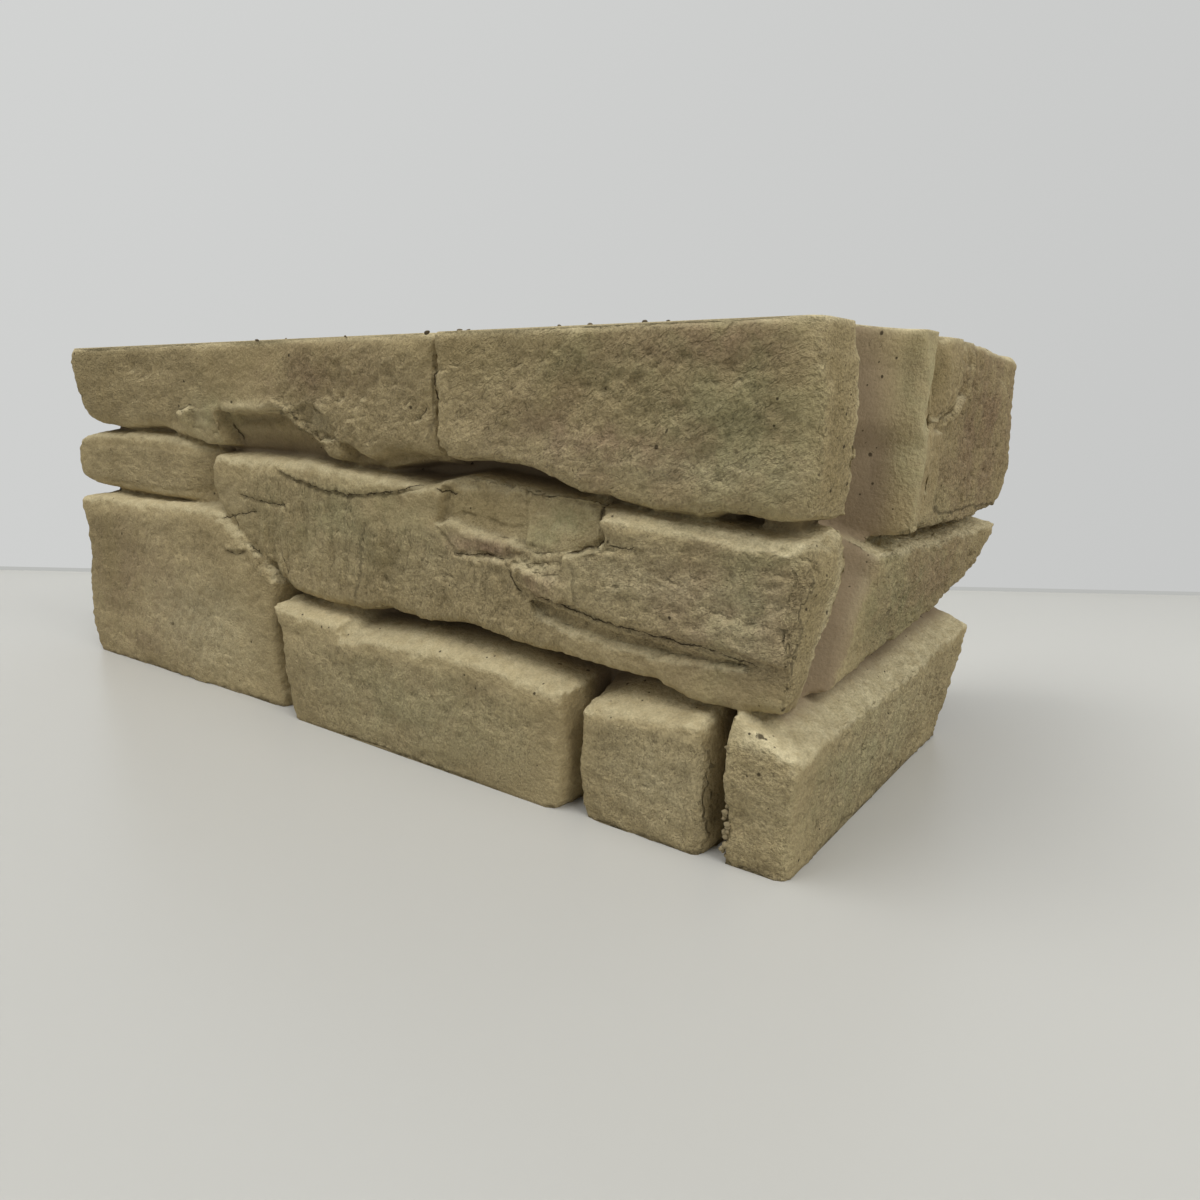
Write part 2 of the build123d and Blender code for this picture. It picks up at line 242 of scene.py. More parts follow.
LAYS: tuple[Lay, ...] = (
    Lay(32, 26, 9.0, 1.1, 0.85, (-48, 165), (95, 38)),
    Lay(24, 12, 4.6, 0.7, 0.85, (0, 98), (60, 26)),
    Lay(4, 24, 5.0, 0.6, 0.45, (-400, 180), (85, 26)),
    Lay(36, 10, 4.4, 0.75, 0.8, (-200, 172), (60, 26)),
    Lay(84, 30, 5.5, 1.5, 0.6, (-240, 100), (55, 34)),
    Lay(78, 20, 5.0, 1.2, 0.7, (-130, 88), (75, 26)),
    Lay(2, 16, 4.6, 0.6, 0.45, (-400, 126), (75, 12)),
    Lay(62, 18, 7.0, 0.6, 0.4, (-390, 50), (95, 52)),
    Lay(80, 12, 4.6, 0.5, 0.55, (-160, 24), (95, 26)),
    Lay(76, 10, 4.6, 0.5, 0.6, (-15, 22), (36, 26)),
    Lay(66, 18, 6.0, 1.0, 1.0, (80, 24), (115, 28), Side.SHORT),
    Lay(-28, 16, 6.0, 1.0, 1.1, (110, 92), (95, 36), Side.SHORT),
    Lay(84, 20, 6.0, 0.9, 1.1, (140, 158), (75, 44), Side.SHORT),
)


def tone_patches(side: Side, tone: Tone, rows: tuple[tuple[float, ...], ...]) -> tuple[TonePatch, ...]:
    """Turn rows of (along, up, reach along, reach up, strength) into patches of one colour."""
    return tuple(TonePatch(tone, row[:2], row[2:4], row[4], side) for row in rows)


PATCHES: tuple[TonePatch, ...] = (
    *tone_patches(Side.LONG, Tone.GREEN, (
        (8, 165, 40, 38, 0.7), (-40, 185, 50, 14, 0.5), (22, 100, 20, 40, 0.55), (-318, 158, 22, 14, 0.6),
        (-210, 110, 70, 20, 0.5), (-150, 25, 70, 25, 0.4), (-70, 118, 20, 14, 0.8),
    )),
    *tone_patches(Side.SHORT, Tone.GREEN, (
        (60, 90, 60, 40, 0.55), (20, 25, 70, 28, 0.55), (38, 160, 12, 50, 0.6),
    )),
    *tone_patches(Side.LONG, Tone.PINK, (
        (-50, 155, 45, 18, 0.8), (0, 192, 40, 9, 0.7), (10, 95, 35, 22, 0.6), (-410, 40, 60, 50, 0.4),
        (-230, 182, 50, 12, 0.5), (-112, 107, 26, 4, 1.0), (-78, 95, 14, 6, 0.9),
    )),
    *tone_patches(Side.SHORT, Tone.PINK, (
        (150, 160, 60, 40, 1.0), (110, 95, 50, 20, 0.5),
    )),
    # olive patches: the stone's own olive-brown tint and painted shade; the two under the lip of the top course's
    # broken hollow are painted shade, and the one in the middle stone's recess is partly painted shade
    *tone_patches(Side.LONG, Tone.OLIVE, (
        (-112, 124, 25, 8, 0.6), (-176, 100, 16, 20, 0.4), (-120, 190, 60, 9, 0.5), (-270, 188, 70, 8, 0.4),
        (-440, 70, 14, 40, 0.4), (-10, 178, 65, 22, 0.3), (-276, 156, 32, 5, 0.9), (-268, 147, 34, 6, 1.0),
        (-440, 180, 40, 25, 0.3), (-160, 146, 16, 6, 0.5),
    )),
    # the first is partly painted shade in the hollow of the short side's top stone
    *tone_patches(Side.SHORT, Tone.OLIVE, (
        (62, 184, 14, 18, 0.9), (145, 160, 75, 45, 0.45), (-33, 165, 12, 45, 0.6), (-34, 95, 11, 38, 0.5),
    )),
    # pale patches lighten the stone; on upward tops and lips, such as the top of the low corner stone and the lip
    # over the broken hollow, they are painted highlight
    *tone_patches(Side.LONG, Tone.PALE, (
        (-25, 103, 50, 16, 0.42), (-400, 50, 75, 60, 0.14), (-150, 25, 100, 30, 0.26), (-150, 100, 80, 26, 0.2),
        (0, 165, 34, 30, 0.12), (-278, 165, 36, 3, 0.5), (-330, 158, 14, 8, 0.3), (-226, 160, 12, 8, 0.35),
        (33, 25, 18, 26, 0.3), (32, 53, 16, 5, 1.0), (-340, 35, 60, 32, 0.55), (-15, 25, 34, 22, 0.48),
        (-75, 150, 60, 14, 0.2), (-300, 112, 24, 14, 0.2), (15, 98, 26, 22, 0.45), (0, 147, 60, 8, 0.35),
    )),
    # the first is painted highlight on the top of the low corner stone
    *tone_patches(Side.SHORT, Tone.PALE, (
        (-10, 52, 50, 6, 0.8), (60, 30, 90, 30, 0.3), (-17, 170, 2.2, 42, 0.75), (-21, 95, 2.2, 34, 0.75),
        (41, 160, 9, 50, 0.28),
    )),
    # painted shadow in the joint under the top course's broken hollow and scoop
    *tone_patches(Side.LONG, Tone.DARK, (
        (-268, 142.5, 46, 3.5, 0.55), (-215, 141, 36, 2.5, 0.45),
    )),
)

PITS: tuple[Pit, ...] = tuple(Pit(row[:3], row[3]) for row in (
    (39.7, 11.7, 196.8, 1.2), (38.0, 17.2, 186.7, 0.6), (39.0, 20.1, 181.2, 0.8), (36.4, 14.1, 177.8, 0.5),
    (32.3, 21.9, 161.1, 0.5), (34.9, 31.0, 154.3, 0.4), (33.0, 30.2, 151.0, 1.0), (41.6, 36.8, 129.3, 0.5),
    (48.6, 199.2, 175.5, 1.4), (48.6, 203.2, 148.8, 1.3), (26.3, -45.3, 172.5, 0.9), (-11.8, -47.2, 92.1, 0.8),
    (28.7, -47.6, 53.8, 1.7), (30.6, -47.0, 53.6, 0.9), (24.9, -49.6, 54.1, 0.6), (30.7, -42.7, 53.3, 0.5),
    (34.3, -48.3, 51.0, 0.6), (-33.1, -30.0, 57.7, 0.9), (-27.1, -40.6, 53.6, 0.5), (-27.0, -35.6, 55.6, 0.5),
    (-3.1, -39.1, 55.1, 0.5), (-133.2, -49.2, 56.3, 0.7), (-116.0, -52.5, 49.9, 0.7), (-107.5, -45.1, 57.3, 0.6),
    (-74.0, -52.5, 49.1, 0.9), (-73.0, -48.1, 53.5, 0.7), (-236.6, -49.1, 58.6, 0.9), (-200.9, -47.3, 52.2, 0.6),
    (-185.3, -40.8, 56.4, 0.7),
))

TOP_CRUMBS: tuple[Crumb, ...] = tuple(Crumb(row[:3], row[3]) for row in (
    (-271, -42, 199.0, 0.9), (-252, -38, 199.2, 0.7), (-143, -43, 199.0, 1.0), (-124, -42, 199.0, 1.2),
    (-118, -43, 199.0, 0.9), (-69, -43, 199.0, 0.9), (-54, -43, 199.0, 1.1), (-29, -43, 199.0, 1.3),
    (-19, -43, 199.0, 0.9), (-318, -40, 199.0, 0.6), (-200, -42, 199.0, 0.6),
))


def linear(code: str) -> tuple[float, float, float, float]:
    """Turn a six-digit display colour into the linear colour that a socket takes.

    Args:
        code: red, green and blue as two hexadecimal digits each.

    Returns:
        The linear colour with full alpha.
    """
    parts = [int(code[i : i + 2], 16) / 255 for i in (0, 2, 4)]
    red, green, blue = (p / 12.92 if p <= 0.04045 else ((p + 0.055) / 1.055) ** 2.4 for p in parts)
    return red, green, blue, 1.0


def rise(low: float, high: float, values: np.ndarray) -> np.ndarray:
    """Go smoothly from 0 at low to 1 at high.

    Args:
        low: where the result is 0.
        high: where the result is 1.
        values: the values to grade.

    Returns:
        The graded values.
    """
    t = np.clip((values - low) / (high - low), 0.0, 1.0)
    return t * t * (3 - 2 * t)


def random_hills(points: np.ndarray, size: float, seed: int) -> np.ndarray:
    """Give smooth random heights in space, from about -1 to 1.

    Args:
        points: one row of coordinates for each point.
        size: the distance from one hill to the next, in the points' unit.
        seed: chooses the pattern.

    Returns:
        One height for each point.
    """
    table = np.random.default_rng(seed).normal(size=(1024, 3))
    table /= np.linalg.norm(table, axis=1)[:, None]
    scaled = points / size + seed * 0.37
    cell = np.floor(scaled).astype(np.int64)
    local = scaled - cell
    fade = local**3 * (local * (local * 6 - 15) + 10)
    total = np.zeros(len(points))
    for corner in np.ndindex(2, 2, 2):
        key = cell + np.array(corner)
        index = (key[:, 0] * 73856093 ^ key[:, 1] * 19349663 ^ key[:, 2] * 83492791) % 1024
        share = np.prod(np.where(np.array(corner) == 1, fade, 1 - fade), axis=1)
        total += share * np.sum(table[index] * (local - np.array(corner)), axis=1)
    return total * 1.7


def line_distance(points: np.ndarray, line: Line) -> tuple[np.ndarray, np.ndarray, np.ndarray, np.ndarray]:
    """Measure how far points lie from a broken line.

    Args:
        points: rows of (along, up).
        line: the corners of the broken line.

    Returns:
        The distance, the height above the line, the share of the way along it, and 1 or -1 for the
        side of the line that each point lies on.
    """
    corners = np.array(line, float)
    runs = np.linalg.norm(np.diff(corners, axis=0), axis=1)
    reached = np.concatenate(([0.0], np.cumsum(runs))) / runs.sum()
    best = np.full(len(points), 1e9)
    above = np.zeros(len(points))
    share = np.zeros(len(points))
    hand = np.ones(len(points))
    for i, run in enumerate(runs):
        step = corners[i + 1] - corners[i]
        t = np.clip((points - corners[i]) @ step / run**2, 0, 1)
        gap = points - corners[i] - t[:, None] * step
        far = np.linalg.norm(gap, axis=1)
        nearer = far < best
        best = np.where(nearer, far, best)
        above = np.where(nearer, gap[:, 1], above)
        share = np.where(nearer, reached[i] + t * (reached[i + 1] - reached[i]), share)
        hand = np.where(nearer, np.where(step[0] * gap[:, 1] - step[1] * gap[:, 0] < 0, -1.0, 1.0), hand)
    return best, above, share, hand


class NodeSheet:
    """Adds nodes to a node tree in short steps."""

    def __init__(self, tree: bpy.types.NodeTree) -> None:
        """Take the tree that the nodes go into."""
        self.tree = tree

    def add(self, kind: str, inputs: dict[Any, Any] | None = None, **settings: Any) -> bpy.types.Node:
        """Add one node.

        Args:
            kind: the node's type.
            inputs: values or sockets for its inputs, by name or number.
            settings: its other properties.

        Returns:
            The new node.
        """
        node = self.tree.nodes.new(kind)
        for name, value in settings.items():
            setattr(node, name, value)
        for key, value in (inputs or {}).items():
            if isinstance(value, bpy.types.NodeSocket):
                self.tree.links.new(value, node.inputs[key])
            else:
                node.inputs[key].default_value = value
        return node

    def math(self, operation: str, *values: Any, clamp: bool = False) -> bpy.types.NodeSocket:
        """Add a Math node and return its output."""
        node = self.add("ShaderNodeMath", dict(enumerate(values)), operation=operation, use_clamp=clamp)
        return node.outputs[0]

    def times(self, first: Any, second: Any) -> bpy.types.NodeSocket:
        """Multiply two values."""
        return self.math("MULTIPLY", first, second)

    def fit(self, value: Any, factor: Any, plus: Any) -> bpy.types.NodeSocket:
        """Multiply a value by a factor and add a third."""
        return self.math("MULTIPLY_ADD", value, factor, plus)

    def kept(self, name: str, part: str = "Fac") -> bpy.types.NodeSocket:
        """Read what the surface keeps under a name."""
        return self.add("ShaderNodeAttribute", attribute_name=name).outputs[part]

    def shared(self, tree: bpy.types.NodeTree, *values: Any) -> list[bpy.types.NodeSocket]:
        """Add a shared group with its inputs in order and return its outputs."""
        return list(self.add("ShaderNodeGroup", dict(enumerate(values)), node_tree=tree).outputs)

    def parts(self, colour: Any) -> list[bpy.types.NodeSocket]:
        """Split a colour into its three values."""
        return list(self.add("ShaderNodeSeparateColor", {0: colour}).outputs)[:3]

    def shaded(self, colour: Any, value: Any) -> bpy.types.NodeSocket:
        """Multiply a colour by a value."""
        grey = self.add("ShaderNodeCombineColor", {0: value, 1: value, 2: value})
        return self.mix(1.0, colour, grey.outputs[0], "MULTIPLY")

    def object_place(self) -> bpy.types.NodeSocket:
        """Read the place in the object's own coordinates."""
        return self.add("ShaderNodeTexCoord").outputs["Object"]

    def object_axes(self) -> list[bpy.types.NodeSocket]:
        """Read that place as three values."""
        return list(self.add("ShaderNodeSeparateXYZ", {0: self.object_place()}).outputs)

    def point_value(self, name: str) -> bpy.types.NodeSocket:
        """Read a value that a geometry's points carry under a name."""
        return self.add("GeometryNodeInputNamedAttribute", {"Name": name}, data_type="FLOAT").outputs[0]

    def scaled(self, vector: Any, factor: Any) -> bpy.types.NodeSocket:
        """Make a vector longer or shorter."""
        return self.add("ShaderNodeVectorMath", {0: vector, 3: factor}, operation="SCALE").outputs[0]

    def stretched(self, vector: Any, factors: Any) -> bpy.types.NodeSocket:
        """Multiply two vectors, axis by axis."""
        return self.add("ShaderNodeVectorMath", {0: vector, 1: factors}, operation="MULTIPLY").outputs[0]

    def pushed(self, geometry: Any, height: Any) -> bpy.types.NodeSocket:
        """Move a geometry's points along their normals."""
        offset = self.scaled(self.add("GeometryNodeInputNormal").outputs[0], height)
        return self.add("GeometryNodeSetPosition", {"Geometry": geometry, "Offset": offset}).outputs[0]

    def end_piece(self, geometry: Any, finish: Any) -> None:
        """Give a geometry its material and make it the tree's output."""
        dressed = self.add("GeometryNodeSetMaterial", {"Geometry": geometry, "Material": finish})
        self.add("NodeGroupOutput", {0: dressed.outputs[0]})

    def given(self) -> dict[str, bpy.types.NodeSocket]:
        """Add the tree's inputs and return them by name."""
        return {socket.name: socket for socket in self.add("NodeGroupInput").outputs if socket.name}

    def mix(self, share: Any, first: Any, second: Any, blend: str = "MIX") -> bpy.types.NodeSocket:
        """Add a colour Mix node and return its output."""
        node = self.add("ShaderNodeMix", data_type="RGBA", blend_type=blend)
        for key, value in ((0, share), (6, first), (7, second)):
            if isinstance(value, bpy.types.NodeSocket):
                self.tree.links.new(value, node.inputs[key])
            else:
                node.inputs[key].default_value = value
        return node.outputs[2]

    def grade(self, value: Any, low: float, high: float, bottom: float = 0.0, top: float = 1.0):
        """Add a smooth Map Range node from low..high to bottom..top and return its output."""
        inputs = {0: value, 1: low, 2: high, 3: bottom, 4: top}
        return self.add("ShaderNodeMapRange", inputs, interpolation_type="SMOOTHSTEP").outputs[0]

    def noise(self, place: Any, size: Any, detail: float = 2.0, rough: float = 0.5, seed: float = 0.0):
        """Add a Noise node whose hills are one size apart, in metres, and return its value."""
        scale = self.math("DIVIDE", 1.0, size)
        inputs = {"Vector": place, "W": seed, "Scale": scale, "Detail": detail, "Roughness": rough}
        return self.add("ShaderNodeTexNoise", inputs, noise_dimensions="4D").outputs[0]


def new_group(name: str, kind: str, ins: dict[str, str], outs: dict[str, str]) -> bpy.types.NodeTree:
    """Make an empty node group with named sockets.

    Args:
        name: the group's name.
        kind: the type of node tree.
        ins: socket type by input name.
        outs: socket type by output name.

    Returns:
        The group's tree.
    """
    tree = bpy.data.node_groups.new(name, kind)
    for flow, sockets in (("INPUT", ins), ("OUTPUT", outs)):
        for label, socket in sockets.items():
            tree.interface.new_socket(label, in_out=flow, socket_type=socket)
    return tree


FLOAT = "NodeSocketFloat"
VECTOR = "NodeSocketVector"
GEOMETRY = "NodeSocketGeometry"
MATERIAL = "NodeSocketMaterial"


class SharedGroups:
    """The shader effects that the stone finishes share."""

    def __init__(self) -> None:
        """Build each effect once."""
        self.mottle = self._mottle()
        self.grain = self._grain()
        self.pores = self._pores()
        self.lines = self._lines()
        self.flakes = self._flakes()

    def _mottle(self) -> bpy.types.NodeTree:
        """Build cloudy light and dark areas at two sizes."""
        ins = {"Place": VECTOR, "Cloud Size": FLOAT, "Fleck Size": FLOAT}
        tree = new_group("cloudy_tone", "ShaderNodeTree", ins, {"Cloud": FLOAT, "Fleck": FLOAT})
        sheet = NodeSheet(tree)
        given = sheet.add("NodeGroupInput")
        cloud = sheet.noise(given.outputs[0], given.outputs[1], 3.0, 0.55, 1.3)
        fleck = sheet.noise(given.outputs[0], given.outputs[2], 3.0, 0.6, 7.7)
        sheet.add("NodeGroupOutput", {0: sheet.grade(cloud, 0.36, 0.64), 1: sheet.grade(fleck, 0.38, 0.62)})
        return tree

    def _grain(self) -> bpy.types.NodeTree:
        """Build sand grain: light and dark specks and their height."""
        ins = {"Place": VECTOR, "Grain Size": FLOAT}
        tree = new_group("sand_grain", "ShaderNodeTree", ins, {"Speck": FLOAT, "Height": FLOAT})
        sheet = NodeSheet(tree)
        given = sheet.add("NodeGroupInput")
        place, size = given.outputs[0], given.outputs[1]
        fine = sheet.noise(place, size, 2.0, 0.7, 2.1)
        wide = sheet.noise(place, sheet.times(size, 4.5), 3.0, 0.7, 5.2)
        scale = sheet.math("DIVIDE", 1.0, sheet.times(size, 2.0))
        grains = sheet.add("ShaderNodeTexVoronoi", {"Vector": place, "Scale": scale, "Randomness": 1.0})
        dome = sheet.math("SUBTRACT", 1.0, grains.outputs["Distance"])
        height = sheet.fit(fine, 0.55, sheet.times(wide, 0.6))
        height = sheet.fit(dome, 0.28, height)
        speck = sheet.fit(fine, 0.85, sheet.times(wide, 0.15))
        sheet.add("NodeGroupOutput", {0: sheet.grade(speck, 0.36, 0.64), 1: height})
        return tree

    def _pores(self) -> bpy.types.NodeTree:
        """Build round pinholes, spread at random."""
        ins = {"Place": VECTOR, "Spacing": FLOAT, "Share": FLOAT, "Radius": FLOAT}
        tree = new_group("pinholes", "ShaderNodeTree", ins, {"Hole": FLOAT})
        sheet = NodeSheet(tree)
        given = sheet.add("NodeGroupInput")
        place, spacing, share, radius = list(given.outputs)[:4]
        cells = sheet.add(
            "ShaderNodeTexVoronoi",
            {"Vector": place, "Scale": sheet.math("DIVIDE", 1.0, spacing), "Randomness": 1.0},
        )
        picked = sheet.add("ShaderNodeSeparateColor", {0: cells.outputs["Color"]})
        chosen = sheet.math("LESS_THAN", picked.outputs[0], share)
        size = sheet.fit(sheet.math("POWER", picked.outputs[1], 3.0), 0.6, 0.4)
        reach = sheet.math("DIVIDE", sheet.times(radius, size), spacing)
        ragged = sheet.fit(sheet.noise(place, 0.0012, 1.0, 0.5, 9.4), 1.0, 0.5)
        far = sheet.times(cells.outputs["Distance"], ragged)
        inner = sheet.math("SUBTRACT", 1.0, sheet.math("DIVIDE", far, reach))
        hole = sheet.times(sheet.grade(inner, 0.0, 0.6), chosen)
        sheet.add("NodeGroupOutput", {0: hole})
        return tree

    def _flakes(self) -> bpy.types.NodeTree:
        """Build thin chipped flakes with sharp edges, stretched the way that their place is, and a band at the foot
        of each flake's rise, which the finish darkens as painted shade.
        """
        ins = {"Flow": VECTOR, "Flake Size": FLOAT}
        tree = new_group("chipped_flakes", "ShaderNodeTree", ins, {"Height": FLOAT, "Foot": FLOAT})
        sheet = NodeSheet(tree)
        given = sheet.add("NodeGroupInput")
        levels = 8.0
        hills = sheet.times(sheet.noise(given.outputs[0], given.outputs[1], 3.0, 0.62, 4.4), levels)
        part = sheet.math("FRACT", hills)
        step = sheet.math("ADD", sheet.math("FLOOR", hills), sheet.grade(part, 0.6, 0.95))
        foot = sheet.times(sheet.grade(part, 0.4, 0.62), sheet.grade(part, 0.66, 0.85, 1.0, 0.0))
        patchy = sheet.grade(sheet.noise(given.outputs[0], sheet.times(given.outputs[1], 1.6), 2.0, 0.6, 8.8),
                             0.45, 0.62)
        sheet.add("NodeGroupOutput", {0: sheet.math("DIVIDE", step, levels), 1: sheet.times(foot, patchy)})
        return tree

    def _lines(self) -> bpy.types.NodeTree:
        """Build sharp cracks and pinholes from the distances that the surface keeps of them."""
        ins = {"Place": VECTOR, "Crack": VECTOR, "Pit": VECTOR}
        tree = new_group("cracks_and_pits", "ShaderNodeTree", ins, {"Line": FLOAT, "Hole": FLOAT})
        sheet = NodeSheet(tree)
        given = sheet.add("NodeGroupInput")
        place, crack, pit = list(given.outputs)[:3]
        shift = sheet.fit(sheet.noise(place, 0.0035, 2.0, 0.7, 3.3), 3.0, -1.5)
        ways = sheet.add("ShaderNodeSeparateXYZ", {0: crack}).outputs
        level = sheet.math("ADD", ways[0], shift)
        far = sheet.math("SQRT", sheet.fit(level, level, sheet.times(ways[1], ways[1])))
        gone = sheet.grade(sheet.noise(place, 0.006, 1.0, 0.6, 6.6), 0.34, 0.5)
        wide = sheet.fit(sheet.times(ways[2], gone), 0.6, 0.0001)
        line = sheet.math("SUBTRACT", 1.0, sheet.math("DIVIDE", far, wide), clamp=True)
        away = sheet.add("ShaderNodeVectorMath", {0: pit}, operation="LENGTH").outputs["Value"]
        away = sheet.times(away, sheet.fit(shift, 0.5, 1.0))
        hole = sheet.grade(sheet.math("SUBTRACT", 1.0, away), 0.0, 0.5)
        sheet.add("NodeGroupOutput", {0: line, 1: hole})
        return tree


def new_material(name: str) -> tuple[bpy.types.Material, NodeSheet]:
    """Make an empty material and the sheet that its nodes go on."""
    material = bpy.data.materials.new(name)
    material.use_nodes = True
    material.node_tree.nodes.clear()
    return material, NodeSheet(material.node_tree)


def finish_stone(sheet: NodeSheet, colour: Any, rough: float, height: Any, depth: float) -> None:
    """End a stone material with a dull, bumpy surface.

    Args:
        sheet: the material's sheet.
        colour: its colour.
        rough: its roughness.
        height: the bump's height.
        depth: the bump's height at 1, in metres.
    """
    bump = sheet.add("ShaderNodeBump", {"Height": height, "Distance": depth, "Strength": 1.0})
    inputs = {"Base Color": colour, "Roughness": rough, "Normal": bump.outputs[0],
              "Specular IOR Level": STONE_SHEEN}
    shader = sheet.add("ShaderNodeBsdfPrincipled", inputs)
    sheet.add("ShaderNodeOutputMaterial", {0: shader.outputs[0]})


@dataclass(frozen=True)
class DressedFinish:
    """The sandy, weathered finish of the stone faces, with painted shade in creases, joints and hollows and painted
    highlight on upward faces and edges.
    """

    sand: str = "ac9b74"
    shade: str = "93825d"
    green: str = "888762"
    pink: str = "9b8167"
    cream: str = "d6caa4"
    olive: str = "7a6b45"
    mauve: str = "907e65"
    hole: str = "352b1d"
    cloud_size: float = 0.05
    fleck_size: float = 0.02
    grain_size: float = 0.0011
    bump_height: float = 0.0026
    speckle: float = 0.42
    flake_size: float = 0.42
    flake_height: float = 1.25
    pore_spacing: float = 0.0042
    pore_radius: float = 0.0014
    rough: float = 0.93

    def build(self, name: str, groups: SharedGroups) -> bpy.types.Material:
        """Make the material.

        Args:
            name: the material's name.
            groups: the shared effects.

        Returns:
            The new material.
        """
        material, sheet = new_material(name)
        place = sheet.object_place()
        # joint colour, then crack: painted shade in creases, deep joints, shadow patches and along the foot, then
        # light: painted highlight on upward faces and edges, partly pale stone and edge wear
        joint, crack, light = sheet.parts(sheet.kept("surface", "Color"))
        green, pink, olive = sheet.parts(sheet.kept("tones", "Color"))
        line, pit = sheet.shared(groups.lines, place, sheet.kept("cracks", "Vector"), sheet.kept("pits", "Vector"))
        flake, foot = sheet.shared(groups.flakes, sheet.kept("flow", "Vector"), self.flake_size)
        cloud, fleck = sheet.shared(groups.mottle, place, self.cloud_size, self.fleck_size)
        speck, grain = sheet.shared(groups.grain, place, self.grain_size)
        pore = sheet.shared(groups.pores, place, self.pore_spacing, sheet.kept("pores"), self.pore_radius)[0]
        flaky = sheet.kept("flaky")

        colour = sheet.mix(sheet.times(cloud, 0.6), linear(self.sand), linear(self.shade))
        for share, tone in (
            (sheet.times(sheet.fit(fleck, 0.7, 0.2), green), self.green),
            (sheet.times(sheet.fit(fleck, -0.7, 0.9), pink), self.pink),
            (sheet.times(olive, 0.75), self.olive),
            # cream where light is high: painted highlight on upward faces and edges, partly pale stone and edge
            # wear
            (sheet.times(light, 0.85), self.cream),
            (sheet.times(joint, 0.9), self.mauve),
        ):
            colour = sheet.mix(share, colour, linear(tone))
        rugged = sheet.times(sheet.fit(joint, -0.85, 1.0), sheet.kept("coarse"))
        rugged = sheet.fit(rugged, 0.85, 0.15)
        spots = sheet.fit(speck, self.speckle, -0.5 * self.speckle)
        spots = sheet.fit(spots, rugged, 1.0)
        # painted shade in cavities and painted highlight on raised edges
        spots = sheet.fit(sheet.kept("cavity_shade_and_edge_light"), 0.07, spots)
        # painted shade at the foot of each flake's rise
        spots = sheet.fit(sheet.times(foot, flaky), -0.3, spots)
        colour = sheet.shaded(colour, sheet.times(spots, sheet.fit(fleck, 0.08, 0.96)))
        dark = sheet.times(sheet.math("MAXIMUM", sheet.math("MAXIMUM", pore, pit), line), 0.85)
        # the crack value darkens towards the hole colour as painted shade
        dark = sheet.math("MAXIMUM", sheet.times(crack, 0.6), dark)
        colour = sheet.mix(dark, colour, linear(self.hole))

        raised = sheet.times(flake, sheet.times(flaky, self.flake_height))
        height = sheet.math("ADD", sheet.times(grain, rugged), raised)
        finish_stone(sheet, colour, self.rough, sheet.fit(line, -0.4, height), self.bump_height)
        return material


@dataclass(frozen=True)
class PlainFinish:
    """The plain cement finish of the backs and beds, and of loose crumbs."""

    main: str
    other: str
    hole: str = "453b2c"
    cloud_size: float = 0.07
    fleck_size: float = 0.012
    grain_size: float = 0.0014
    bump_height: float = 0.0006
    pore_spacing: float = 0.007
    pore_share: float = 0.3
    pore_radius: float = 0.0013
    rough: float = 0.95

    def build(self, name: str, groups: SharedGroups) -> bpy.types.Material:
        """Make the material.

        Args:
            name: the material's name.
            groups: the shared effects.

        Returns:
            The new material.
        """
        material, sheet = new_material(name)
        place = sheet.object_place()
        cloud = sheet.shared(groups.mottle, place, self.cloud_size, self.fleck_size)[0]
        speck, grain = sheet.shared(groups.grain, place, self.grain_size)
        pore = sheet.shared(groups.pores, place, self.pore_spacing, self.pore_share, self.pore_radius)[0]
        colour = sheet.mix(cloud, linear(self.main), linear(self.other))
        colour = sheet.shaded(colour, sheet.fit(speck, 0.24, 0.88))
        colour = sheet.mix(sheet.times(pore, 0.7), colour, linear(self.hole))
        finish_stone(sheet, colour, self.rough, sheet.math("SUBTRACT", grain, pore), self.bump_height)
        return material


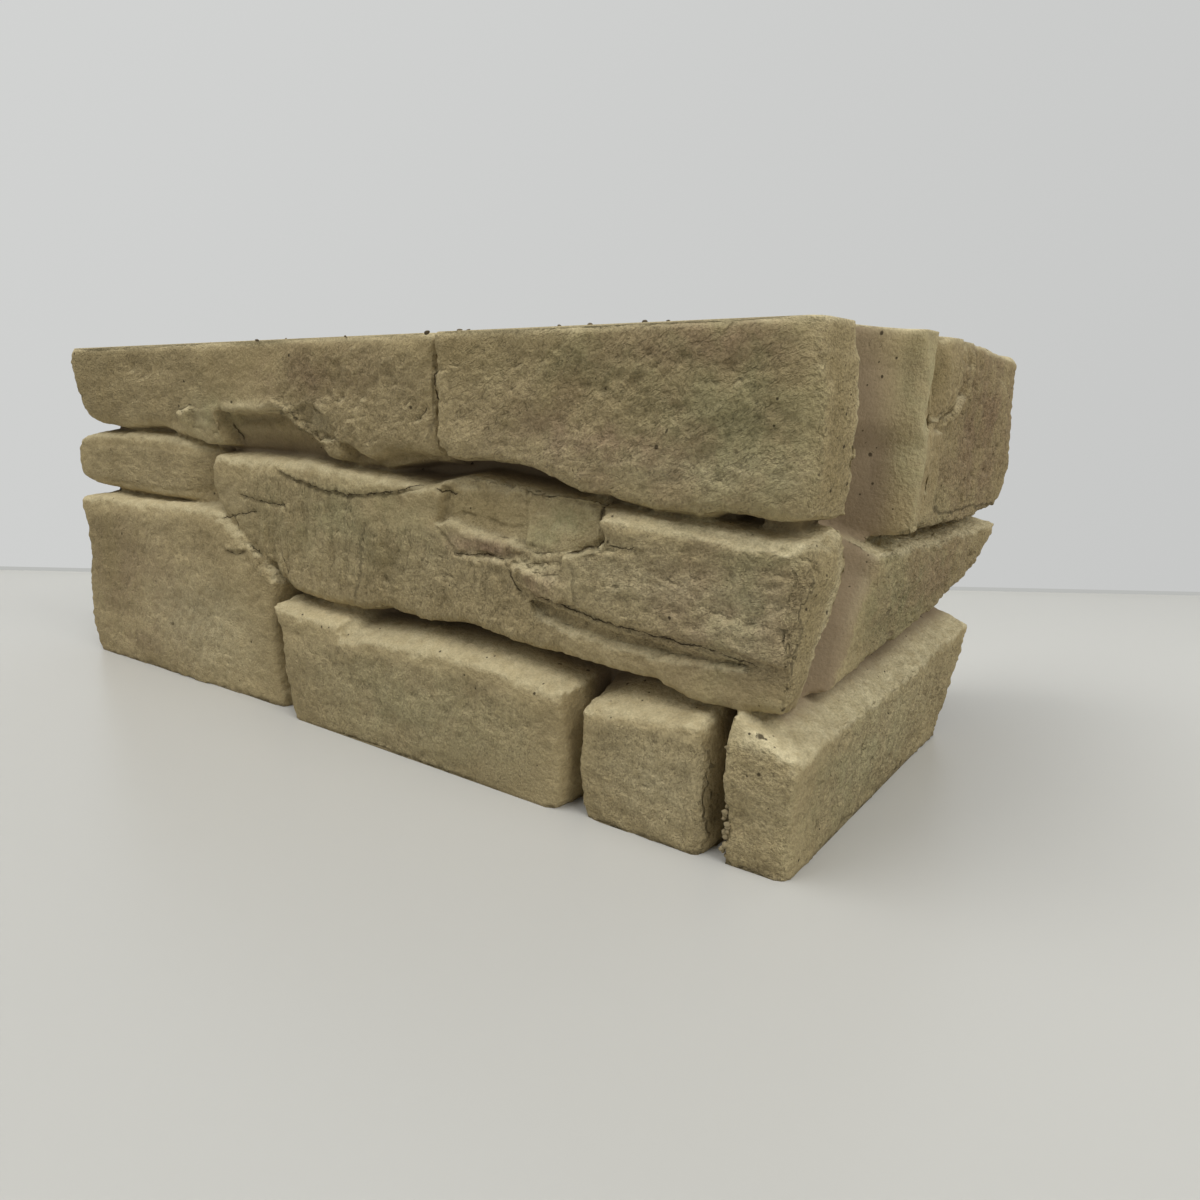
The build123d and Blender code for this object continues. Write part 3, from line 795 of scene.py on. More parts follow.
class Surface:
    """The points of a stone mesh in millimetres, with what is known of each."""

    def __init__(self, mesh: bpy.types.Mesh) -> None:
        """Read the points, their normals and the edges of a mesh."""
        self.mesh = mesh
        count = len(mesh.vertices)
        place = np.empty(count * 3, np.float32)
        mesh.vertices.foreach_get("co", place)
        self.place = place.reshape(-1, 3).astype(float) / MM
        normal = np.empty(count * 3, np.float32)
        mesh.vertex_normals.foreach_get("vector", normal)
        self.normal = normal.reshape(-1, 3).astype(float)
        edges = np.empty(len(mesh.edges) * 2, np.int32)
        mesh.edges.foreach_get("vertices", edges)
        self.edges = edges.reshape(-1, 2)

    @property
    def depth(self) -> np.ndarray:
        """How far each point stands out from the wall behind it."""
        x, y = self.place[:, 0], self.place[:, 1]
        return np.where(y > 0, x, np.where(x < 0, -y, np.maximum(x, -y)))

    def on(self, side: Side) -> tuple[np.ndarray, np.ndarray]:
        """Find the points of one dressed side.

        Args:
            side: which side.

        Returns:
            Their (along, up) coordinates, and how surely each point belongs to that side.
        """
        x, y, z = self.place.T
        if side is Side.LONG:
            facing = rise(0.15, 0.5, -self.normal[:, 1]) * rise(22, 30, -y)
            return np.column_stack((x, z)), facing
        facing = rise(0.15, 0.5, self.normal[:, 0]) * rise(22, 30, x) * (y > -60)
        return np.column_stack((y, z)), facing

    def flat(self) -> np.ndarray:
        """How surely each point lies on a flat back, bed or slab end."""
        x, y, z = self.place.T
        nx, ny, nz = self.normal.T
        backs = ((y > -BED) & (ny > 0.5) & (x < BACK)) | ((x < BED) & (nx < -0.5) & (y > -BACK))
        beds = ((z < BED) & (nz < -0.5)) | ((z > TOP_BED) & (nz > 0.5))
        return (backs | beds).astype(float)

    def smoothed(self, values: np.ndarray, rounds: int) -> np.ndarray:
        """Average values with their neighbours along the edges.

        Args:
            values: one row for each point.
            rounds: how many times.

        Returns:
            The averaged rows.
        """
        first, second = self.edges.T
        count = len(self.place)
        degree = np.bincount(first, minlength=count) + np.bincount(second, minlength=count)
        rows = values.reshape(count, -1).copy()
        for _ in range(rounds):
            for k in range(rows.shape[1]):
                column = rows[:, k]
                total = np.bincount(first, weights=column[second], minlength=count)
                total += np.bincount(second, weights=column[first], minlength=count)
                rows[:, k] = 0.5 * column + 0.5 * total / np.maximum(degree, 1)
        return rows.reshape(values.shape)

    def write(self) -> None:
        """Put the points back into the mesh."""
        self.mesh.vertices.foreach_set("co", (self.place * MM).astype(np.float32).ravel())
        self.mesh.update()

    def keep(self, name: str, values: np.ndarray, vector: bool = False) -> None:
        """Store one value, one colour or one vector for each point as an attribute.

        Args:
            name: the attribute's name.
            values: one number, or three, for each point.
            vector: whether three numbers are a vector and not a colour.
        """
        if values.ndim == 1:
            layer = self.mesh.attributes.new(name, "FLOAT", "POINT")
            layer.data.foreach_set("value", values.astype(np.float32))
            return
        if vector:
            layer = self.mesh.attributes.new(name, "FLOAT_VECTOR", "POINT")
            layer.data.foreach_set("vector", values.astype(np.float32).ravel())
            return
        layer = self.mesh.attributes.new(name, "FLOAT_COLOR", "POINT")
        full = np.ones((len(values), 4), np.float32)
        full[:, :3] = values
        layer.data.foreach_set("color", full.ravel())


def near_mark(surface: Surface, mark: Mark, reach: float) -> tuple[np.ndarray, tuple[np.ndarray, ...]]:
    """Find the points near a mark and measure them from its slightly wavering line.

    Args:
        surface: the points.
        mark: the mark.
        reach: how far from the line to look, in millimetres.

    Returns:
        Which points are near, and what line_distance says of them.
    """
    flat, facing = surface.on(mark.side)
    corners = np.array(mark.points, float)
    inside = (facing > 0.01) & np.all((flat > corners.min(0) - reach) & (flat < corners.max(0) + reach), axis=1)
    chosen = flat[inside]
    spread = np.column_stack((chosen, np.zeros(len(chosen))))
    waver = [0.9 * random_hills(spread, 8.0, seed) + 0.35 * random_hills(spread, 3.2, seed + 1)
             for seed in (31, 33)]
    return inside, line_distance(chosen + np.column_stack(waver), mark.points)


def cut_facets(surface: Surface) -> None:
    """Move the points inside each facet's outline on to its plane.

    Args:
        surface: the points, which are moved by a few millimetres.
    """
    for facet in FACETS:
        corners = np.array(facet.corners, float)
        axis, sign = (1, -1.0) if facet.side is Side.LONG else (0, 1.0)
        out = surface.place[:, axis] * sign
        flat = surface.on(facet.side)[0]
        low, high = corners[:, :2].min(0) - 4, corners[:, :2].max(0) + 4
        near = np.flatnonzero((out > JOINT_FLOOR + 3) & np.all((flat > low) & (flat < high), axis=1))
        chosen = flat[near]
        spread = np.column_stack((chosen, np.zeros(len(chosen))))
        waver = [0.5 * random_hills(spread, 5.0, seed) for seed in (35, 37)]
        chosen = chosen + np.column_stack(waver)
        closed = tuple(map(tuple, np.vstack((corners, corners[:1]))[:, :2]))
        far = line_distance(chosen, closed)[0]
        inside = np.zeros(len(chosen), bool)
        for (ax, ay), (bx, by) in zip(closed, closed[1:]):
            crosses = (chosen[:, 1] < ay) != (chosen[:, 1] < by)
            inside ^= crosses & (chosen[:, 0] < ax + (chosen[:, 1] - ay) * (bx - ax) / (by - ay + 1e-9))
        share = rise(-facet.blend, facet.blend, np.where(inside, far, -far))
        known = np.column_stack((corners[:, :2], np.ones(len(corners))))
        plane = np.linalg.lstsq(known, corners[:, 2], rcond=None)[0]
        target = flat[near] @ plane[:2] + plane[2]
        surface.place[near, axis] += sign * np.clip(target - out[near], -MOST_CUT, MOST_CUT) * share


def worked_lines(surface: Surface) -> np.ndarray:
    """Work the listed marks.

    Args:
        surface: the points.

    Returns:
        The height that the marks add at each point, in millimetres.
    """
    height = np.zeros(len(surface.place))
    for mark in MARKS:
        facing = surface.on(mark.side)[1]
        inside, (far, above, share, _) = near_mark(surface, mark, mark.width * 4 + 4)
        taper = rise(0.0, 0.12, share) * rise(0.0, 0.12, 1 - share)
        if mark.kind is Cut.LEDGE:
            shape = np.where(above > 0, np.exp(-far / mark.width), -0.4 * np.exp(-far / 1.8)) * taper
        else:
            shape = np.exp(-((far / (mark.width + 0.7)) ** 2)) * taper
        height[inside] += mark.height * shape * facing[inside]
    return height


def crack_lines(surface: Surface) -> np.ndarray:
    """Measure each point from the nearest crack, so that the finish can draw it sharply.

    Args:
        surface: the points.

    Returns:
        For each point the distance to either side of the crack, a second distance that keeps
        neighbouring cracks apart, and the crack's strength there.
    """
    result = np.tile((6.0, 6.0, 0.0), (len(surface.place), 1))
    nearest = np.full(len(surface.place), 8.0)
    for mark in MARKS:
        if mark.kind is not Cut.CRACK:
            continue
        inside, (far, _, share, hand) = near_mark(surface, mark, 8.0)
        taper = rise(0.0, 0.15, share) * rise(0.0, 0.15, 1 - share)
        rows = np.column_stack((hand * far, np.clip(far - 1.8, 0, 6) * 1.5, mark.width * taper))
        closer = far < nearest[inside]
        chosen = np.flatnonzero(inside)[closer]
        result[chosen] = rows[closer]
        nearest[chosen] = far[closer]
    return result


def pit_middles(surface: Surface, unit: float = 0.0) -> np.ndarray:
    """Measure each point from the nearest pinhole, so that the finish can draw it sharply.

    Args:
        surface: the points.
        unit: the length that the offsets are given in, or 0 for the pinhole's radius.

    Returns:
        For each point its offset from the pinhole.
    """
    result = np.tile((9.0, 9.0, 9.0), (len(surface.place), 1))
    nearest = np.full(len(surface.place), 7.0)
    for pit in PITS:
        start = surface.place[np.argmin(np.sum((surface.place - np.array(pit.middle)) ** 2, axis=1))]
        gap = surface.place - start
        far = np.linalg.norm(gap, axis=1)
        closer = far < nearest
        result[closer] = gap[closer] / (unit or pit.radius)
        nearest[closer] = far[closer]
    return result


def lay_height(surface: Surface) -> tuple[np.ndarray, np.ndarray, np.ndarray, np.ndarray]:
    """Raise the scaly texture that runs one way over each face.

    Args:
        surface: the points.

    Returns:
        The height that it adds at each point, in millimetres, how gritty each point is, its place
        stretched the way of the texture, and how surely it has one.
    """
    height = np.zeros(len(surface.place))
    flow = np.zeros((len(surface.place), 3))
    most = np.zeros(len(surface.place))
    grain = np.full(len(surface.place), 0.4)
    for number, lay in enumerate(LAYS):
        flat, facing = surface.on(lay.side)
        gap = np.abs((flat - np.array(lay.middle)) / np.array(lay.reach))
        share = np.exp(-np.sum(gap**4, axis=1)) * facing
        inside = share > 0.02
        angle = math.radians(lay.angle)
        way = np.array((math.cos(angle), math.sin(angle)))
        across = np.array((-math.sin(angle), math.cos(angle)))
        chosen = flat[inside]
        bend = 1.6 * random_hills(np.column_stack((chosen, np.zeros(len(chosen)))), 16.0, 60 + number)
        placed = np.column_stack((chosen @ way / lay.length, (chosen @ across + bend) / lay.width,
                                  surface.depth[inside] / 20))
        scales = 1.1 * np.abs(random_hills(placed, 1.0, 40 + number)) - 0.3
        steps = 2.4 * random_hills(placed, 1.9, 80 + number)
        steps = (np.floor(steps) + rise(0.3, 0.7, steps - np.floor(steps))) / 2.4
        height[inside] += lay.height * (0.8 * scales + 0.9 * steps) * share[inside]
        grain += (lay.grain - 0.4) * share
        better = share[inside] > most[inside]
        rows = np.flatnonzero(inside)[better]
        flow[rows] = placed[better] + number
        most[rows] = share[rows]
    return height, np.clip(grain, 0, 1.2), flow, rise(0.3, 0.65, most)


def relief_tree() -> bpy.types.NodeTree:
    """Build the node tree that roughens a stone surface along its normals.

    Returns:
        The node tree, with its sizes as named inputs.
    """
    ins = {"Geometry": GEOMETRY, "Cleft Height": FLOAT, "Cleft Size": FLOAT, "Scale Height": FLOAT,
           "Scale Size": FLOAT, "Grit Height": FLOAT, "Grit Size": FLOAT, "Seed": FLOAT, "Finish": MATERIAL}
    tree = new_group("cleft_relief", "GeometryNodeTree", ins, {"Geometry": GEOMETRY})
    sheet = NodeSheet(tree)
    take = sheet.given()
    place = sheet.add("GeometryNodeInputPosition").outputs[0]
    flattened = sheet.stretched(place, (0.7, 0.7, 1.25))
    total = None
    for part, way, detail in (("Cleft", flattened, 3.0), ("Scale", flattened, 2.0), ("Grit", place, 1.0)):
        noise = sheet.noise(way, take[part + " Size"], detail, 0.55, take["Seed"])
        centred = sheet.math("SUBTRACT", noise, 0.5)
        if part == "Scale":
            centred = sheet.fit(sheet.math("ABSOLUTE", centred), -1.6, 0.12)
        grown = sheet.times(centred, sheet.times(take[part + " Height"], 4.0))
        total = grown if total is None else sheet.math("ADD", total, grown)
    moved = sheet.pushed(take["Geometry"], sheet.times(total, sheet.point_value("relief")))
    whole = sheet.add("GeometryNodeRealizeInstances", {0: moved}).outputs[0]
    sheet.end_piece(whole, take["Finish"])
    return tree


def crumb_tree() -> bpy.types.NodeTree:
    """Build the node tree that puts one ragged crumb on every point.

    Returns:
        The node tree. The points' attribute "radius" sets each crumb's size.
    """
    ins = {"Geometry": GEOMETRY, "Flatness": FLOAT, "Ragged Height": FLOAT, "Seed": "NodeSocketInt",
           "Finish": MATERIAL}
    tree = new_group("loose_crumbs", "GeometryNodeTree", ins, {"Geometry": GEOMETRY})
    sheet = NodeSheet(tree)
    take = sheet.given()
    ball = sheet.add("GeometryNodeMeshIcoSphere", {"Radius": 1.0, "Subdivisions": 2})
    spread = sheet.add("FunctionNodeRandomValue", {0: (0.8, 0.8, 0.7), 1: (1.5, 1.3, 1.0), "Seed": take["Seed"]},
                       data_type="FLOAT_VECTOR").outputs[0]
    turn = sheet.add("FunctionNodeRandomValue", {0: (0, 0, 0), 1: (0.5, 0.5, 6.28), "Seed": take["Seed"]},
                     data_type="FLOAT_VECTOR").outputs[0]
    low = sheet.add("ShaderNodeCombineXYZ", {0: 1.0, 1: 1.0, 2: take["Flatness"]}).outputs[0]
    shape = sheet.scaled(sheet.stretched(spread, low), sheet.point_value("radius"))
    crumbs = sheet.add("GeometryNodeInstanceOnPoints", {"Points": take["Geometry"], "Instance": ball.outputs[0],
                                                        "Rotation": turn, "Scale": shape})
    whole = sheet.add("GeometryNodeRealizeInstances", {0: crumbs.outputs[0]}).outputs[0]
    place = sheet.add("GeometryNodeInputPosition").outputs[0]
    noise = sheet.add("ShaderNodeTexNoise", {"Vector": place, "Scale": 900.0, "Detail": 1.0}).outputs[0]
    ragged = sheet.times(sheet.math("SUBTRACT", noise, 0.5), take["Ragged Height"])
    sheet.end_piece(sheet.pushed(whole, ragged), take["Finish"])
    return tree


def run_tree(obj: bpy.types.Object, tree: bpy.types.NodeTree, values: dict[str, Any]) -> bpy.types.Mesh:
    """Run a node tree on an object and take the result as a plain mesh.

    Args:
        obj: the object whose mesh goes in.
        tree: the geometry node tree.
        values: the tree's inputs by name.

    Returns:
        The new mesh. The modifier is gone from the object.
    """
    modifier = obj.modifiers.new(tree.name, "NODES")
    modifier.node_group = tree
    for item in tree.interface.items_tree:
        if item.in_out == "INPUT" and item.name in values:
            modifier[item.identifier] = values[item.name]
    mesh = evaluated_mesh(obj)
    obj.modifiers.clear()
    return mesh


def evaluated_mesh(obj: bpy.types.Object) -> bpy.types.Mesh:
    """Take an object's mesh as its modifiers leave it."""
    bpy.context.view_layer.update()
    graph = bpy.context.evaluated_depsgraph_get()
    return bpy.data.meshes.new_from_object(obj.evaluated_get(graph), depsgraph=graph)


@dataclass
class Casting:
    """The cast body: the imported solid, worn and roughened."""

    voxel: float = 0.001
    most_triangles: int = 196000
    wear_rounds: int = 1
    cleft: tuple[float, float] = (0.001, 0.024)
    scales: tuple[float, float] = (0.0009, 0.0075)
    grit: tuple[float, float] = (0.0005, 0.003)
    seed: float = 4.0
    top_slope: float = 0.9

    def build(self, solid: bpy.types.Object, finishes: dict[str, bpy.types.Material]) -> bpy.types.Object:
        """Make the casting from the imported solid.

        Args:
            solid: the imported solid's object.
            finishes: the materials by name.

        Returns:
            The finished piece.
        """
        low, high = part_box(NODE)
        piece = bpy.data.objects.new("dressed_casting", self._skin(solid))
        bpy.context.scene.collection.objects.link(piece)
        self._form(piece.data)
        values = {"Cleft Height": self.cleft[0], "Cleft Size": self.cleft[1], "Scale Height": self.scales[0],
                  "Scale Size": self.scales[1], "Grit Height": self.grit[0], "Grit Size": self.grit[1],
                  "Seed": self.seed, "Finish": finishes["dressed"]}
        self._take(piece, run_tree(piece, relief_tree(), values))
        self._thin(piece)
        self._tidy(piece.data, np.array(low) / MM, np.array(high) / MM)
        self._colour(piece.data)
        self._dress(piece.data, finishes)
        log.info("casting: %d faces", len(piece.data.polygons))
        return piece

    def _skin(self, solid: bpy.types.Object) -> bpy.types.Mesh:
        """Copy the solid's mesh and cover it with small even faces."""
        form = bmesh.new()
        form.from_mesh(solid.data)
        bmesh.ops.remove_doubles(form, verts=form.verts, dist=0.00001)
        mesh = bpy.data.meshes.new("skin")
        form.to_mesh(mesh)
        form.free()
        holder = bpy.data.objects.new("skin", mesh)
        bpy.context.scene.collection.objects.link(holder)
        modifier = holder.modifiers.new("even", "REMESH")
        modifier.mode = "VOXEL"
        modifier.voxel_size = self.voxel
        modifier.adaptivity = 0.0
        result = evaluated_mesh(holder)
        bpy.data.objects.remove(holder)
        return result

    def _form(self, mesh: bpy.types.Mesh) -> None:
        """Round the arrises, add the slow swells, the marks and the strength of the relief."""
        surface = Surface(mesh)
        flat = surface.flat()
        soft = surface.smoothed(surface.place, 28)
        proud = np.sum((surface.place - soft) * surface.normal, axis=1)
        worn = surface.smoothed(surface.place, self.wear_rounds)
        rimmed = surface.smoothed(surface.place, 30)
        rim = rise(187, 198, surface.place[:, 2])[:, None]
        held = (flat * rise(0.5, 0.95, surface.smoothed(flat, 14)))[:, None]
        rim = np.maximum(rim, 0.8 * self._cove(surface)[:, None])
        worn = worn * (1 - rim) + rimmed * rim
        surface.place = worn * (1 - held) + surface.place * held
        cut_facets(surface)
        surface.write()
        surface = Surface(mesh)
        dressed = self._dressed(surface) * (1 - flat)
        squeezed = surface.place * np.array([0.65, 0.65, 1.2])
        height = 1.2 * random_hills(squeezed, 34.0, 11) + 0.7 * random_hills(squeezed, 14.0, 12)
        scales, grain = lay_height(surface)[:2]
        height += scales * (1 - 0.8 * rise(0.2, 0.6, surface.normal[:, 2]))
        height *= dressed
        nibble = 0.5 + 0.5 * random_hills(surface.place, 9.0, 13) + 0.4 * random_hills(surface.place, 4.0, 14)
        chips = rise(0.35, 0.75, nibble)
        height -= np.clip(proud - 0.1, 0, 1.5) * (0.25 + 1.0 * chips) * (1 - flat) * (1 - rim[:, 0])
        height += worked_lines(surface)
        surface.place += surface.normal * height[:, None]
        sunk = rise(180, 200, surface.place[:, 2]) * rise(20, 42, surface.depth)
        surface.place[:, 2] -= self.top_slope * sunk
        surface.write()
        surface.keep("relief", dressed * (0.25 + 0.75 * grain) * (1 - 0.6 * rim[:, 0]))

    def _dressed(self, surface: Surface) -> np.ndarray:
        """How rough each point is: full on the faces, little on smooth joint walls."""
        face = 0.1 + 0.9 * rise(JOINT_FLOOR + 1, FACE, surface.depth)
        return face * (1 - 0.85 * self._cove(surface)) * (1 + 0.3 * self._broken(surface))

    def _cove(self, surface: Surface) -> np.ndarray:
        """Where the smooth cove beside the corner is."""
        x, y, z = surface.place.T
        return rise(0.2, 0.45, -surface.normal[:, 1]) * (y > -20) * (y < 62) * (z > COVE_FOOT) * (x > CORNER)

    def _broken(self, surface: Surface) -> np.ndarray:
        """Where the granular, broken ends of the stones at the corner are."""
        x, y, z = surface.place.T
        ends = rise(0.45, 0.8, surface.normal[:, 0]) * (x > 34) * (y < -6) * (z > LOW_TOP)
        head = rise(0.4, 0.8, -surface.normal[:, 1]) * (x > CORNER) * (z < LOW_TOP)
        return np.maximum(ends, head)

    def _take(self, piece: bpy.types.Object, mesh: bpy.types.Mesh) -> None:
        """Give the piece a new mesh and drop the old one."""
        old = piece.data
        piece.data = mesh
        bpy.data.meshes.remove(old)

    def _thin(self, piece: bpy.types.Object) -> None:
        """Bring the mesh under the casting's most_triangles, sparing the points near pinholes and cracks."""
        triangles = sum(len(face.vertices) - 2 for face in piece.data.polygons)
        log.info("casting before thinning: %d triangles", triangles)
        surface = Surface(piece.data)
        spared = piece.vertex_groups.new(name="spared")
        close = np.linalg.norm(pit_middles(surface, 1.0), axis=1) < 4.0
        close |= np.abs(crack_lines(surface)[:, 0]) < 2.5
        spared.add(np.flatnonzero(close).tolist(), 1.0, "REPLACE")
        modifier = piece.modifiers.new("thin", "DECIMATE")
        modifier.ratio = min(1.0, self.most_triangles / triangles)
        modifier.vertex_group = "spared"
        modifier.invert_vertex_group = True
        modifier.use_collapse_triangulate = True
        mesh = evaluated_mesh(piece)
        piece.modifiers.clear()
        piece.vertex_groups.clear()
        self._take(piece, mesh)
        log.info("casting after thinning: %d triangles", len(mesh.polygons))

    def _tidy(self, mesh: bpy.types.Mesh, low: np.ndarray, high: np.ndarray) -> None:
        """Keep every point in the solid's box, and the beds on their planes."""
        surface = Surface(mesh)
        surface.place = np.clip(surface.place, low, high)
        z = surface.place[:, 2]
        surface.place[:, 2] = np.where((z < 0.35) & (surface.normal[:, 2] < -0.8), 0.0, z)
        surface.write()
        mesh.shade_smooth()

    def _tones(self, surface: Surface) -> np.ndarray:
        """Work out how strongly each patch colour lies on each point, one column for each tone."""
        tones = np.zeros((len(surface.place), len(Tone)))
        for patch in PATCHES:
            flat, facing = surface.on(patch.side)
            gap = (flat - np.array(patch.middle)) / np.array(patch.reach)
            share = np.exp(-np.sum(gap**2, axis=1)) * patch.strength * facing
            tones[:, patch.tone.value] = np.maximum(tones[:, patch.tone.value], share)
        return tones

    def _colour(self, mesh: bpy.types.Mesh) -> None:
        """Store where the joints, cracks and coloured patches are, with the painted highlight on upward faces and
        raised edges, partly edge wear, and the painted shade in creases, deep joints and along the foot.
        """
        surface = Surface(mesh)
        x, y, z = surface.place.T
        joint = 1 - rise(JOINT_FLOOR, FACE, surface.depth)
        joint = np.maximum(joint, self._cove(surface) * (1 - rise(34, 46, surface.depth)))
        joint *= 1 - surface.flat()
        near = surface.smoothed(surface.place, 6)
        wide = surface.smoothed(surface.place, 40)
        sharp = np.sum((surface.place - near) * surface.normal, axis=1)
        broad = np.sum((surface.place - wide) * surface.normal, axis=1)
        upward = rise(0.15, 0.6, surface.smoothed(surface.normal, 3)[:, 2])
        tones = self._tones(surface)
        pale, dark = tones[:, Tone.PALE.value], tones[:, Tone.DARK.value]
        broken = surface.smoothed(self._broken(surface), 4)
        rim = rise(195, 199, z)
        ragged = 0.75 + 0.35 * random_hills(surface.place, 6.0, 23) + 0.25 * random_hills(surface.place, 2.5, 24)
        # painted highlight: upward faces lighter, more on the short leg's stones, and raised sharp edges lighter,
        # partly as edge wear
        light = (0.62 + 0.28 * rise(10, 18, x)) * upward * ragged + 0.12 * rise(0.15, 0.6, sharp)
        # painted highlight along the top rim, the broken ends a little paler, and pale patches that are partly
        # painted highlight
        light = np.maximum(np.maximum(light + 0.05 * broken, 0.45 * rim), pale * ragged)
        light = np.clip(light, 0, 1) * (1 - tones[:, Tone.OLIVE.value])
        # crack here is painted shade: darker in creases and in the deep joints of the long side, with the painted
        # shadow patches
        crack = np.maximum(rise(0.4, 1.2, -sharp) * 0.4, 0.3 * joint * (y < -5) * (x < 10))
        # painted shade: a dark line along the foot where the stone stands on the table
        foot = 0.6 * (1 - rise(0.6, 1.9, z)) * (1 - surface.flat())
        crack = np.maximum(crack, np.maximum(dark, foot))
        shoulder = rise(0.15, 0.5, broad) * rise(0.1, 0.5, surface.normal[:, 2]) * (z < 62)
        cluster = rise(0.1, 0.6, random_hills(surface.place, 30.0, 21))
        pores = np.clip(0.02 + 0.55 * broken + 0.5 * shoulder * cluster + 0.12 * joint + 0.1 * cluster, 0, 0.7)
        surface.keep("surface", np.column_stack((joint, crack, light)))
        surface.keep("tones", tones[:, : Tone.PALE.value])
        surface.keep("pores", pores)
        grain, flow, flaky = lay_height(surface)[1:]
        surface.keep("coarse", np.clip(grain + 0.6 * broken, 0, 1.5))
        surface.keep("flow", flow, vector=True)
        surface.keep("flaky", flaky * (1 - joint) * (1 - rise(0.25, 0.6, surface.normal[:, 2])))
        # painted shade in cavities and painted highlight on raised edges
        surface.keep("cavity_shade_and_edge_light", np.clip(sharp / 0.3, -1.2, 0.6) + 0.6 * np.clip(broad / 1.2, -1, 0))
        surface.keep("cracks", crack_lines(surface), vector=True)
        surface.keep("pits", pit_middles(surface), vector=True)

    def _dress(self, mesh: bpy.types.Mesh, finishes: dict[str, bpy.types.Material]) -> None:
        """Give the faces their finish, with the plain one on backs and beds."""
        mesh.materials.clear()
        mesh.materials.append(finishes["dressed"])
        mesh.materials.append(finishes["plain"])
        count = len(mesh.polygons)
        centre = np.empty(count * 3, np.float32)
        normal = np.empty(count * 3, np.float32)
        mesh.polygons.foreach_get("center", centre)
        mesh.polygons.foreach_get("normal", normal)
        x, y, z = centre.reshape(-1, 3).T / MM
        nx, ny, nz = normal.reshape(-1, 3).T
        plain = (y > -BACK) & (x < BACK) & ((ny > 0.9) | (nx < -0.9))
        plain |= (z < BED) & (nz < -0.9)
        plain |= (z > PLAIN_TOP) & (nz > 0.98)
        mesh.polygons.foreach_set("material_index", plain.astype(np.int32))
        mesh.update()


@dataclass
class Crumbs:
    """Loose crumbs that cling to the casting, made with a node tree."""

    name: str
    crumbs: tuple[Crumb, ...]
    flatness: float = 0.8
    ragged: float = 0.0012
    seed: int = 3

    def build(self, finish: bpy.types.Material) -> bpy.types.Object:
        """Make the crumbs.

        Args:
            finish: their material.

        Returns:
            The finished piece.
        """
        low, high = (np.array(corner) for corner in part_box(NODE))
        mesh = bpy.data.meshes.new(self.name)
        mesh.from_pydata([tuple(v * MM for v in crumb.foot) for crumb in self.crumbs], [], [])
        sizes = mesh.attributes.new("radius", "FLOAT", "POINT")
        sizes.data.foreach_set("value", [crumb.radius * MM for crumb in self.crumbs])
        piece = bpy.data.objects.new(self.name, mesh)
        bpy.context.scene.collection.objects.link(piece)
        values = {"Flatness": self.flatness, "Ragged Height": self.ragged, "Seed": self.seed, "Finish": finish}
        piece.data = run_tree(piece, crumb_tree(), values)
        bpy.data.meshes.remove(mesh)
        for point in piece.data.vertices:
            point.co = np.clip(np.array(point.co), low, high)
        piece.data.shade_smooth()
        log.info("%s: %d faces", self.name, len(piece.data.polygons))
        return piece


def edge_crumbs(seed: int) -> tuple[Crumb, ...]:
    """Spread lumps along the upright left edge of the low stone that closes the corner.

    Args:
        seed: chooses their places and sizes.

    Returns:
        The crumbs.
    """
    chance = np.random.default_rng(seed)
    lumps = []
    for up in np.arange(3.0, 47.0, 1.5):
        radius = float(chance.uniform(0.7, 1.5))
        place = (float(16.5 + chance.uniform(-1.0, 1.2)), float(-48.5 + chance.uniform(-0.8, 2.5)), float(up))
        lumps.append(Crumb(place, radius))
    return tuple(lumps)


